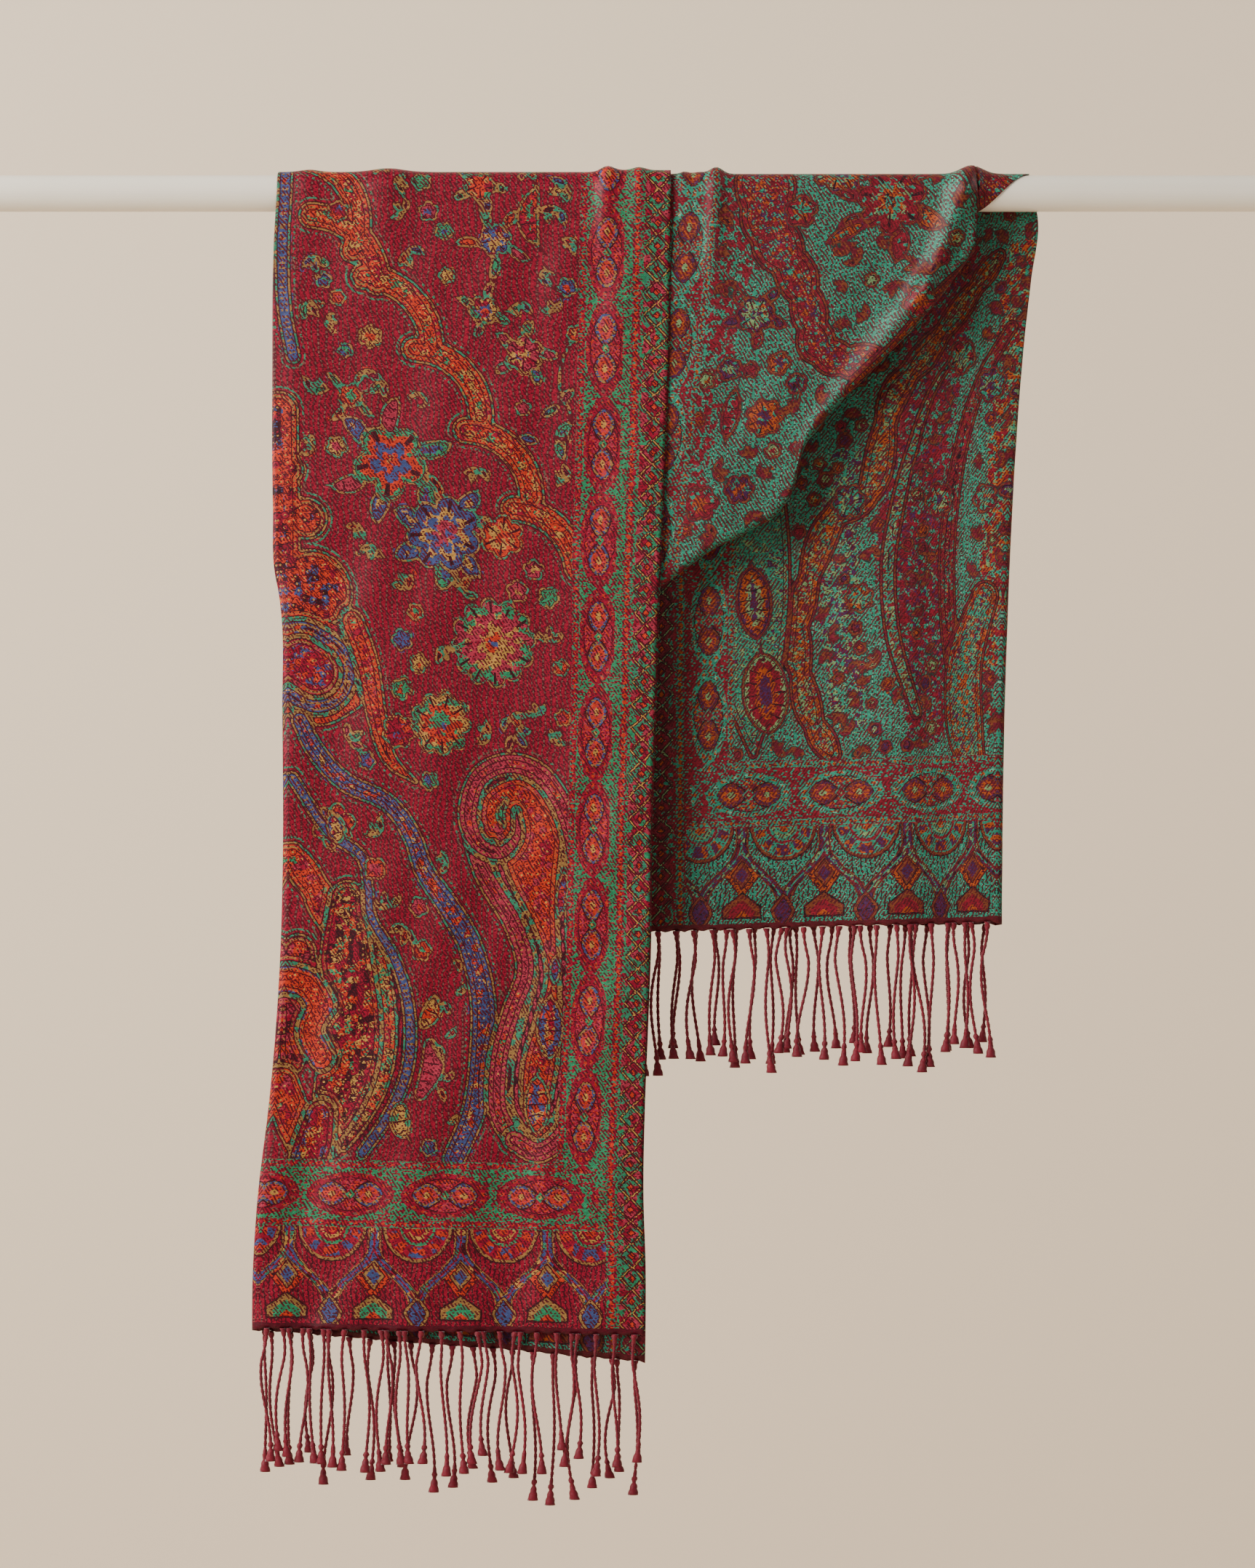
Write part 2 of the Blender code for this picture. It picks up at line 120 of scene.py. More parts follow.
# How far down, and where the left and right edges are
FRONT_FALL_EDGES = [
    (0, -244.6, 30.3),
    (35, -246.6, 29.6),
    (120, -247.6, 28.0),
    (221, -247.1, 24.2),
    (268, -245.6, 21.9),
    (280, -243.2, 21.4),
    (290, -241.8, 21.0),
    (364, -240.5, 18.8),
    (446, -240.0, 16.2),
    (530, -241.8, 15.2),
    (590, -245.4, 13.0),
    (640, -250.2, 11.0),
    (700, -257.4, 10.0),
    (752, -260.9, 11.5),
    (830, -261.4, 11.0),
]
BACK_FALL_EDGES = [
    (0, BACK_SELVEDGE, 286.0),
    (16, BACK_SELVEDGE, 288.9),
    (58, BACK_SELVEDGE, 284.3),
    (99, BACK_SELVEDGE, 279.7),
    (140, BACK_SELVEDGE, 276.2),
    (221, BACK_SELVEDGE, 271.1),
    (323, BACK_SELVEDGE, 267.0),
    (446, BACK_SELVEDGE, 264.4),
    (530, BACK_SELVEDGE, 263.9),
]

# x, the height of the lower edge and the radius of its roll
FRONT_SWAG_LOWER_EDGE = [
    (2.8, -287.0, 5.5),
    (24.7, -274.9, 5.5),
    (58.9, -250.4, 5.5),
    (87.5, -235.6, 5.5),
    (108.0, -221.0, 6.0),
    (116.0, -207.0, 6.0),
    (121.6, -184.0, 6.5),
    (133.0, -166.0, 7.0),
    (170.1, -126.0, 7.0),
    (212.4, -81.1, 7.0),
    (245.0, -38.0, 7.0),
]
BACK_SWAG_LOWER_EDGE = [
    (-240, -27, 5.0),
    (-215, -34, 5.0),
    (-200, -44, 5.5),
    (-150, -86, 6.0),
    (-100, -134, 6.5),
    (-50, -185, 7.0),
    (-2, -236, 8.0),
]

# Folds and creases: from one place to another, half width, and the rise at both ends
Fold = namedtuple("Fold", "x_from run_from x_to run_to half_width rise_from rise_to")
FRONT_FALL_FOLDS = [
    Fold(-222, 8, -226, -60, 9, 1.8, 0.6),
    Fold(-167, 10, -172, -90, 15, 2.8, 0.8),
    Fold(-13.5, 14, -18, -75, 6, 4.1, 0.8),
    Fold(8.4, 14, 7, -60, 6, 2.6, 0.5),
    Fold(-205, -250, -226, -800, 16, -0.6, -3.0),
    Fold(-140, -200, -150, -830, 38, 0.6, 3.4),
    Fold(-80, -300, -84, -830, 22, -0.4, -2.2),
    Fold(-24, -260, -34, -830, 34, 0.5, 2.6),
]
FRONT_FALL_CREASES = [
    Fold(-195, -20, -200, -150, 7, 0.5, 0.1),
    Fold(-120, -18, -112, -130, 9, 0.6, 0.1),
    Fold(-60, -18, -66, -210, 8, -0.5, -0.1),
    Fold(-232, -60, -236, -300, 6, 0.3, 0.6),
    Fold(-228, -330, -232, -520, 8, 0.5, -0.4),
    Fold(-110, -420, -104, -640, 12, -0.4, 0.5),
    Fold(-52, -520, -60, -800, 9, 0.2, 0.9),
    Fold(-180, -560, -188, -815, 10, 0.2, 1.1),
]
FRONT_SWAG_FOLDS = [
    Fold(40, 12, 40, -45, 4, 2.0, 0.6),
    Fold(50, 12, 50, -50, 5, 1.6, 0.4),
    Fold(63, 14, 58, -80, 6, 5.6, 1.2),
    Fold(246, 14, 235, -22, 10, 6.0, 6.0),
    Fold(235, -22, 208, -90, 9, 6.0, 6.5),
    Fold(208, -90, 128, -192, 9, 6.5, 3.0),
]
FRONT_SWAG_CREASES = [
    Fold(66, -70, 40, -200, 9, 0.9, 0.3),
    Fold(120, -20, 96, -120, 12, 0.6, 0.2),
    Fold(200, -30, 150, -130, 8, -0.9, -0.5),
    Fold(225, -40, 190, -100, 6, -1.2, -0.8),
    Fold(110, -150, 60, -240, 8, 0.8, 0.5),
]
BACK_FALL_FOLDS = [
    Fold(75, 120, 70, 540, 22, -0.8, -3.0),
    Fold(135, 90, 130, 540, 30, 0.8, 3.0),
    Fold(192, 60, 188, 540, 22, -1.5, -3.2),
    Fold(232, 60, 226, 540, 18, 1.0, 2.5),
]
BACK_FALL_CREASES = [
    Fold(100, 200, 108, 430, 9, 0.4, 0.8),
    Fold(160, 150, 152, 330, 8, -0.4, -0.8),
    Fold(215, 120, 208, 420, 8, 0.6, 0.9),
    Fold(50, 260, 44, 540, 10, 0.3, 0.8),
]
BACK_SWAG_FOLDS = [
    Fold(-150, 25, -70, 170, 14, 2.0, 3.0),
    Fold(-60, 24, -30, 180, 12, 2.5, 2.0),
]
BACK_SWAG_CREASES = [
    Fold(-200, 24, -160, 60, 8, 0.8, 1.2),
    Fold(-110, 24, -60, 120, 8, -0.7, -0.9),
    Fold(-20, 30, -10, 180, 7, 0.6, 1.0),
]

Fringe = namedtuple("Fringe", "node stretch side outer lean seed roots twins length ragged")
FRINGES = [
    Fringe("fringe_front_outer", "front", -1, True, -1, 3, 20, 0.35, 88, 0.12),
    Fringe("fringe_front_inner", "front", -1, False, 1, 8, 19, 0.1, 92, 0.14),
    Fringe("fringe_back_inner", "back", 1, False, -1, 5, 20, 0.3, 92, 0.09),
    Fringe("fringe_back_outer", "back", 1, True, 1, 12, 19, 0.1, 90, 0.1),
]


# Places on the draped cloth


def smooth_step(low, high, value):
    share = np.clip((value - low) / (high - low), 0, 1)
    return share * share * (3 - 2 * share)


def blend_between(first, second, share):
    return first + (second - first) * share


def table_curve(rows, column, at):
    """Reads one column of a table by a smooth curve through its rows, held beyond its ends."""
    keys = np.array([row[0] for row in rows], float)
    values = np.array([row[column] for row in rows], float)
    slopes = np.gradient(values, keys)
    at = np.clip(at, keys[0], keys[-1])
    low = np.clip(np.searchsorted(keys, at) - 1, 0, len(keys) - 2)
    width = keys[low + 1] - keys[low]
    share = (at - keys[low]) / width
    weight = share * share * (3 - 2 * share)
    bend_in = share * (1 - share) ** 2 * width * slopes[low]
    bend_out = share * share * (share - 1) * width * slopes[low + 1]
    return values[low] * (1 - weight) + values[low + 1] * weight + bend_in + bend_out


def rise(folds, x, run):
    """How far folds lift the cloth outwards."""
    total = 0 * x
    for fold in folds:
        along_x = fold.x_to - fold.x_from
        along_run = fold.run_to - fold.run_from
        reach = (x - fold.x_from) * along_x + (run - fold.run_from) * along_run
        share = np.clip(reach / (along_x**2 + along_run**2), 0, 1)
        off = np.hypot(x - fold.x_from - along_x * share, run - fold.run_from - along_run * share)
        height = blend_between(fold.rise_from, fold.rise_to, share)
        total = total + height * np.exp(-((off / fold.half_width) ** 2))
    return total


def soft_hand(x, run, seed, height):
    """The slight unevenness of soft cloth: a few slow waves of unlike length and direction."""
    draw = random.Random(seed)
    total = 0 * x
    for wave in range(7):
        length = draw.uniform(28, 110)
        angle = draw.uniform(-0.5, 0.5) if wave < 5 else draw.uniform(1.0, 2.0)
        phase = draw.uniform(0, 6.28)
        along = x * math.cos(angle) + run * math.sin(angle)
        total = total + np.sin(along * 2 * math.pi / length + phase + 0.7 * np.sin(run / 70 + phase))
    return total * height / 3


def on_cloth(x, run, out):
    """Points at x, run and out, in millimetres, as columns of an array."""
    angle = np.clip(-run / QUARTER_RUN, -1, 1) * math.pi / 2
    y = -out * np.sin(angle)
    z = out * np.cos(angle) - np.maximum(0, np.abs(run) - QUARTER_RUN)
    return np.stack([x, y, z], axis=-1)


def spread(hang, edge_share, grows_by):
    return smooth_step(0, grows_by, hang) * (SELVEDGE_SPREAD + FOLD_SPREAD * edge_share)


def front_fall_out(x, run, outer):
    layers_under = smooth_step(-24, -6, x) * (1 + smooth_step(-2, 14, run))
    hang = np.maximum(0, -run - QUARTER_RUN)
    out = FIRST_LAYER + LAYER * layers_under + rise(FRONT_FALL_FOLDS, x, run)
    out = out + smooth_step(10, 60, hang) * (rise(FRONT_FALL_CREASES, x, run) + soft_hand(x, run, 4, 0.9))
    return out + outer * (LAYER + spread(hang, smooth_step(20, -240, x), 400))


def back_fall_out(x, run, outer):
    hang = np.maximum(0, run - QUARTER_RUN)
    folds = rise(BACK_FALL_FOLDS, x, run) + rise(BACK_FALL_CREASES, x, run) + soft_hand(x, run, 9, 1.0)
    out = FIRST_LAYER + smooth_step(40, 160, run) * folds
    return out + outer * (LAYER + spread(hang, smooth_step(0, 270, x), 300))


def front_swag_out(x, run):
    hang = np.maximum(0, -run - QUARTER_RUN)
    soft = smooth_step(5, 50, hang) * (rise(FRONT_SWAG_CREASES, x, run) + soft_hand(x, run, 6, 0.9))
    return FIRST_LAYER + LAYER * smooth_step(2, 18, run) + rise(FRONT_SWAG_FOLDS, x, run) + soft


def back_swag_out(x, run):
    out = front_fall_out(x, 0 * run + QUARTER_RUN, 1)
    folds = rise(BACK_SWAG_FOLDS, x, run) + rise(BACK_SWAG_CREASES, x, run)
    return out + smooth_step(QUARTER_RUN, 60, run) * folds


Fall = namedtuple("Fall", "side edges hem inner_hem inner_shows out")
FRONT_FALL = Fall(-1, FRONT_FALL_EDGES, FRONT_HEM, FRONT_INNER_HEM, FRONT_INNER_SHOWS, front_fall_out)
BACK_FALL = Fall(1, BACK_FALL_EDGES, BACK_OUTER_HEM, BACK_HEM, 0, back_fall_out)


def fall_hem(fall, outer, share):
    first = np.where(outer > 0.5, fall.hem[0], fall.inner_hem[0])
    last = np.where(outer > 0.5, fall.hem[1], fall.inner_hem[1])
    return blend_between(first, last, share)


def fall_points(fall, outer, share, turn, z, run):
    """Points of a fall, by the share of the width from the folded edge to the selvedge. Where turn is
    0 or more, it is the way round the fold instead. Also gives w on the flat cloth."""
    hang = np.maximum(0, -z)
    left, right = table_curve(fall.edges, 1, hang), table_curve(fall.edges, 2, hang)
    folded, selvedge = (left, right) if fall.side < 0 else (right, left)
    far, near = fall.out(folded, run, 1), fall.out(folded, run, 0)
    half = (far - near) / 2
    turn_in = -half * fall.side
    angle = math.pi * np.clip(turn, 0, 1)
    turning = turn >= 0
    flat_x = blend_between(folded + turn_in, selvedge, share)
    shows = (1 - outer) * fall.inner_shows * share * smooth_step(0, 20, hang)
    x = np.where(turning, folded + turn_in * (1 - np.sin(angle)), flat_x + shows)
    out = np.where(turning, (far + near) / 2 + half * np.cos(angle), fall.out(flat_x, run, outer))
    round_w = HALF_WIDTH - half * (math.pi / 2 - np.abs(angle - math.pi / 2))
    w = np.where(turning, round_w, HALF_WIDTH * (1 - share))
    return on_cloth(x, run, out), w


# The pattern: shapes on the flat cloth, each drawn from a few numbers

YARN_COUNT = 6
GREEN, ORANGE, BLUE, CREAM, PINK, DARK = range(YARN_COUNT)
FAR_OUTSIDE = -40.0
VEIN_PITCH = 6.5


def yarn_shares(shares):
    """The share of each yarn, in order."""
    return np.array([shares.get(yarn, 0.0) for yarn in range(YARN_COUNT)])


def laid_over(kept, inside):
    """How far inside the nearest edge each point is, once a shape lies over the earlier ones."""
    outside = np.where(kept > 0, np.minimum(kept, -inside), np.maximum(kept, inside))
    return np.where(inside > 0, inside, outside)


class Pattern:
    """The woven field. It keeps the share of each yarn at every point, how far inside the nearest large
    and small shape the point is, and the way along that shape."""

    def __init__(self, w, d):
        self.w = w
        self.d = d
        self.yarns = np.zeros((len(w), YARN_COUNT))
        self.large = np.full(len(w), FAR_OUTSIDE)
        self.small = np.full(len(w), FAR_OUTSIDE)
        self.along = np.zeros(len(w))

    def lay(self, inside, along, fills, large=False):
        """Weaves a shape. fills are pairs of a depth inside its edge and the yarns from there on."""
        for depth, shares in fills:
            cover = np.clip((inside - depth) / 1.0 + 0.5, 0, 1)[:, None]
            self.yarns = self.yarns * (1 - cover) + yarn_shares(shares) * cover
        self.along = np.where(inside > -4.5, along, self.along)
        if large:
            self.large = laid_over(self.large, inside)
            self.small = np.where(inside > 0, np.minimum(self.small, -inside), self.small)
        else:
            self.small = laid_over(self.small, inside)

    def path_inside(self, points, radii, waves=0, wave_height=0):
        """How far inside a smooth path of varying radius each point is, and the way along it."""
        points, radii = np.array(points, float), np.array(radii, float)
        count = max(30, 14 * len(points))
        at = np.linspace(0, len(points) - 1, count)
        rows = [(index, *point, radius) for index, (point, radius) in enumerate(zip(points, radii))]
        path_w, path_d, path_r = (table_curve(rows, column, at) for column in (1, 2, 3))
        if waves:
            path_r = path_r + wave_height * np.abs(np.sin(np.linspace(0, math.pi * waves, count)))
        way = np.concatenate([[0], np.cumsum(np.hypot(np.diff(path_w), np.diff(path_d)))])
        reach = path_r.max() + 12
        inside, along = np.full(len(self.w), FAR_OUTSIDE), np.zeros(len(self.w))
        near_w = (self.w > path_w.min() - reach) & (self.w < path_w.max() + reach)
        here = near_w & (self.d > path_d.min() - reach) & (self.d < path_d.max() + reach)
        if here.any():
            w, d = self.w[here][:, None], self.d[here][:, None]
            depth = path_r - np.hypot(w - path_w, d - path_d)
            nearest = np.argmax(depth, axis=1)
            inside[here] = depth[np.arange(len(nearest)), nearest]
            along[here] = way[nearest]
        return inside, along

    def stroke(self, points, radii, fills, large=False, waves=0, wave_height=0):
        """A shape drawn along a smooth path, as wide as its radii say, with scallops if it has waves."""
        if np.isscalar(radii):
            radii = [radii] * len(points)
        inside, along = self.path_inside(points, radii, waves, wave_height)
        self.lay(inside, along, fills, large)

    def wash(self, points, radii, shares):
        """Changes the yarns over a soft region, without an outline."""
        inside, _ = self.path_inside(points, radii)
        cover = smooth_step(0, 8, inside)[:, None]
        self.yarns = self.yarns * (1 - cover) + yarn_shares(shares) * cover

    def joined(self, strokes, fills, large=True):
        """Several strokes made one shape."""
        inside, along = np.full(len(self.w), FAR_OUTSIDE), np.zeros(len(self.w))
        for points, radii in strokes:
            more, way = self.path_inside(points, [radii] * len(points) if np.isscalar(radii) else radii)
            along = np.where(more > inside, way, along)
            inside = np.maximum(inside, more)
        self.lay(inside, along, fills, large)

    def flower(self, w, d, radius, petals, turn, fills, depth=0.3):
        across, up = self.w - w, self.d - d
        angle = np.arctan2(up, across) + turn
        lobes = np.abs(np.cos(angle * petals / 2)) ** 0.6
        inside = np.maximum(FAR_OUTSIDE, radius * (1 - depth + depth * lobes) - np.hypot(across, up))
        self.lay(inside, (angle + 2 * math.pi) * petals * VEIN_PITCH / (2 * math.pi), fills)

    def leaf(self, start, end, width, fills, bend=0.0, large=False):
        start, end = np.array(start, float), np.array(end, float)
        side = np.array([-(end - start)[1], (end - start)[0]])
        shares = np.linspace(0, 1, 7)
        points = [start + (end - start) * t + side * bend * math.sin(math.pi * t) for t in shares]
        radii = [width / 2 * math.sin(math.pi * min(1, t * 1.15 + 0.02)) ** 0.8 + 0.2 for t in shares]
        self.stroke(points, radii, fills, large)

    def scroll(self, w, d, radius, turn, hand, fills, thick=1.5):
        points = []
        for step in range(9):
            angle = turn + hand * step * 0.65
            far = radius * (1 - step / 9.5)
            points.append((w + far * math.cos(angle), d + far * math.sin(angle)))
        self.stroke(points, [thick * (1 - step / 14) for step in range(9)], fills)

    def spray(self, w, d, size, count, turn, bodies, length=0.55):
        """Leaves set round a flower."""
        for index in range(count):
            angle = turn + index * 2 * math.pi / count
            start = (w + size * 0.8 * math.cos(angle), d + size * 0.8 * math.sin(angle))
            far = size * (1 + length * 2)
            end = (w + far * math.cos(angle + 0.2), d + far * math.sin(angle + 0.2))
            self.leaf(start, end, size * 0.62, bodies[index % len(bodies)], 0.12 * (-1) ** index)


def sprig(pattern, w, d, size, turn, seed):
    """A filler: a small flower, or a curved spray of three leaves."""
    draw = random.Random(seed)
    bodies = ({ORANGE: 0.95}, {BLUE: 0.95}, {PINK: 0.95}, {GREEN: 0.95}, {CREAM: 0.95})
    if draw.random() < 0.4:
        pattern.flower(
            w, d, size * 1.15, 5, turn, [(0, draw.choice(bodies)), (size * 0.7, draw.choice(bodies))], 0.35
        )
        return
    for aside in (-0.9, 0, 0.9):
        angle = turn + aside
        tip = (w + size * 2.1 * math.cos(angle), d + size * 2.1 * math.sin(angle))
        pattern.leaf((w, d), tip, size * 0.85, [(0, draw.choice(bodies))], draw.uniform(-0.2, 0.2))


def fill_sprigs(pattern, low_w, high_w, low_d, high_d, pitch, seed, room=0.3):
    """Sets fillers in the open ground, in uneven rows."""
    draw = random.Random(seed)
    d, row = low_d, 0
    while d < high_d:
        w = low_w + (row % 2) * pitch / 2
        while w < high_w:
            here_w, here_d = w + draw.uniform(-4, 4), d + draw.uniform(-4, 4)
            close = np.argmin(np.hypot(pattern.w - here_w, pattern.d - here_d))
            turn, size, seed_here = draw.uniform(0, 6.28), draw.uniform(0.25, 0.36), draw.random()
            if max(pattern.large[close], pattern.small[close]) < -pitch * room - 2:
                sprig(pattern, here_w, here_d, pitch * size, turn, seed_here)
            w += pitch
        d += pitch * 0.8
        row += 1


GREEN_EDGE = (0, {GREEN: 0.95})
PINK_BAND = [(0, {PINK: 0.95}), (5.6, {PINK: 0.7, ORANGE: 0.14, GREEN: 0.08})]
ORANGE_BAND = [(0, {ORANGE: 0.8}), (5.6, {ORANGE: 0.5, GREEN: 0.14, PINK: 0.14})]
GARLAND = [(0, {ORANGE: 0.8}), (4.5, {ORANGE: 0.5, GREEN: 0.16, CREAM: 0.16})]
BLUE_RIBBON = [(0, {BLUE: 0.92}), (4.8, {BLUE: 0.5, ORANGE: 0.3, CREAM: 0.1})]
OLIVE_BAND = [(0, {CREAM: 0.16, GREEN: 0.3, ORANGE: 0.3, DARK: 0.1})]
LEAFY = [(0, {DARK: 0.3}), (2.4, {CREAM: 0.14, GREEN: 0.12, DARK: 0.24, ORANGE: 0.14})]
ORANGE_BODY = [(0, {ORANGE: 0.66, PINK: 0.18})]
BLUE_LEAF = [(0, {BLUE: 0.9}), (5, {CREAM: 0.6, BLUE: 0.3})]
PINK_LEAF = [(0, {PINK: 0.95})]
ORANGE_LEAF = [(0, {ORANGE: 0.95})]
GREEN_LEAF = [(0, {GREEN: 0.8, BLUE: 0.15}), (5, {BLUE: 0.7})]
LEAVES = (BLUE_LEAF, PINK_LEAF, GREEN_LEAF, ORANGE_LEAF)


def weave_paisley(pattern):
    """The great curled leaf near the selvedge: a pink band that winds into a spiral, round an orange body."""
    body = [(76, 157), (77, 198), (74, 239), (74, 280), (86, 321), (98, 352)]
    pattern.stroke(body, [26, 26, 24, 25, 33, 36], ORANGE_BODY, True)
    outer = [
        (94, 135), (75, 127), (57, 142), (50, 170), (49, 219), (51, 270), (54, 321), (63, 361), (81, 388)
    ]
    outer += [(106, 397), (129, 387), (137, 361), (129, 341), (112, 335), (100, 347), (101, 364)]
    left = [(137, 358), (125, 321), (102, 285), (92, 254), (101, 224), (108, 193), (107, 157), (94, 135)]
    pattern.stroke([(63, 340), (66, 300), (63, 250), (61, 200), (66, 160), (78, 146)], 3.6, PINK_BAND, True)
    pattern.stroke(
        [(118, 340), (107, 312), (90, 282), (80, 252), (86, 222), (94, 190), (93, 160), (84, 146)], 3.6,
        PINK_BAND, True
    )
    pattern.stroke(left, 8, PINK_BAND, True)
    pattern.stroke(outer, [8.2] * 12 + [7, 6, 4.5, 2.5], PINK_BAND, True)
    pattern.stroke([(108, 372), (113, 362), (110, 354)], [2, 3.6, 2], [GREEN_EDGE, (1.4, {GREEN: 0.8})])
    pattern.leaf(
        (71, 192), (73, 244), 20, [(0, {CREAM: 0.5, ORANGE: 0.3}), (2.4, {BLUE: 0.74}), (5.6, {ORANGE: 0.3,
        CREAM: 0.3})]
    )
    pattern.leaf((70, 244), (70, 268), 8, [(0, {BLUE: 0.8})])
    pattern.leaf((77, 140), (80, 188), 19, [(0, {GREEN: 0.85}), (1.8, {ORANGE: 0.4, BLUE: 0.3, CREAM: 0.15})])
    pattern.leaf((68, 290), (63, 330), 9, [(0, {CREAM: 0.5}), (1.5, {BLUE: 0.4, ORANGE: 0.3})])


def weave_left_side(pattern):
    """The forms that the fold at the left cuts: lobes, a ring, and a great leaf of nested bands."""
    lobes = [([(268, 640), (268, 560), (268, 470), (250, 440)], 14), ([(262, 599)], 11), ([(250, 565)], 15)]
    lobes += [([(247, 517)], 27), ([(250, 458), (232, 455)], [38, 26])]
    lobes = [(points * 2 if len(points) == 1 else points, radii) for points, radii in lobes]
    pattern.joined(
        lobes, [(0, {CREAM: 0.45, GREEN: 0.3}), (1.8, {ORANGE: 0.72, DARK: 0.1}), (11, {ORANGE: 0.5,
        BLUE: 0.16, DARK: 0.16})]
    )
    pattern.stroke([(262, 465), (250, 458)], [30, 30], BLUE_RIBBON, True)
    pattern.stroke(
        [(262, 465), (250, 458)], [18, 18], [(0, {ORANGE: 0.6}), (1.6, {PINK: 0.25, ORANGE: 0.2}), (7,
        {BLUE: 0.3, ORANGE: 0.3})], True
    )
    pattern.stroke(
        [(223, 494), (212, 462), (205, 427), (196, 399), (176, 383)], [9, 9, 8, 6, 2], ORANGE_BAND, True
    )
    pattern.stroke([(268, 330), (246, 300), (232, 268), (240, 240)], [10, 11, 10, 6], ORANGE_BAND, True, 4, 2)
    pattern.flower(
        237, 351, 17, 6, 0.3, [(0, {CREAM: 0.7}), (1.8, {ORANGE: 0.7}), (8, {BLUE: 0.5, CREAM: 0.2})], 0.35
    )
    pattern.stroke(
        [(226, 300), (222, 262), (216, 225), (214, 190), (222, 150), (232, 128)], [14, 24, 30, 30, 22, 12],
        LEAFY, True
    )
    pattern.stroke(
        [(262, 262), (258, 226), (262, 186)], [14, 16, 10], [(0, {ORANGE: 0.3, PINK: 0.3, DARK: 0.14})], True
    )
    pattern.stroke(
        [(208, 292), (201, 262), (193, 228), (190, 200), (193, 175), (201, 154), (217, 128)],
        [4, 5.4, 6, 6, 6, 5.4, 4], OLIVE_BAND, True
    )
    pattern.stroke(
        [
            (268, 384), (242, 348), (217, 331), (211, 309), (208, 288), (191, 262), (180, 236), (175, 208),
            (176, 180), (186, 152), (203, 124)
        ],
        [5, 5, 5, 4.6, 4.6, 5, 5.2, 5.4, 5.4, 5.2, 5], BLUE_RIBBON, True,
    )
    pattern.joined(
        [([(268, 244), (254, 240), (243, 226)], 11), ([(243, 226), (250, 208), (240, 190)], 10)],
        [(0, {BLUE: 0.9}), (2.4, {ORANGE: 0.9})]
    )
    pattern.flower(206, 322, 9, 4, 0.8, [(0, {ORANGE: 0.9}), (5, {PINK: 0.9})])
    pattern.leaf((233, 340), (240, 362), 13, [(0, {BLUE: 0.6, CREAM: 0.3})])
    pattern.stroke([(160, 200), (157, 185), (164, 166)], [5, 9, 5], [(0, {PINK: 0.9})])
    pattern.leaf((168, 212), (160, 240), 14, [(0, {ORANGE: 0.5, CREAM: 0.4})], 0.15)
    pattern.leaf((178, 160), (168, 132), 15, [(0, {GREEN: 0.5, CREAM: 0.4})], 0.15)
    for index in range(8):
        d = 146 + index * 15
        w = 143 + 7 * math.sin(index * 0.5)
        pattern.leaf(
            (w, d), (w - 8 * (-1) ** index, d + 9), 5.5,
            [(0, ({CREAM: 0.95}, {ORANGE: 0.95}, {PINK: 0.95})[index % 3])], 0.2
        )
    pattern.stroke([(268, 170), (254, 142), (246, 120)], [14, 13, 6], ORANGE_BAND, True)


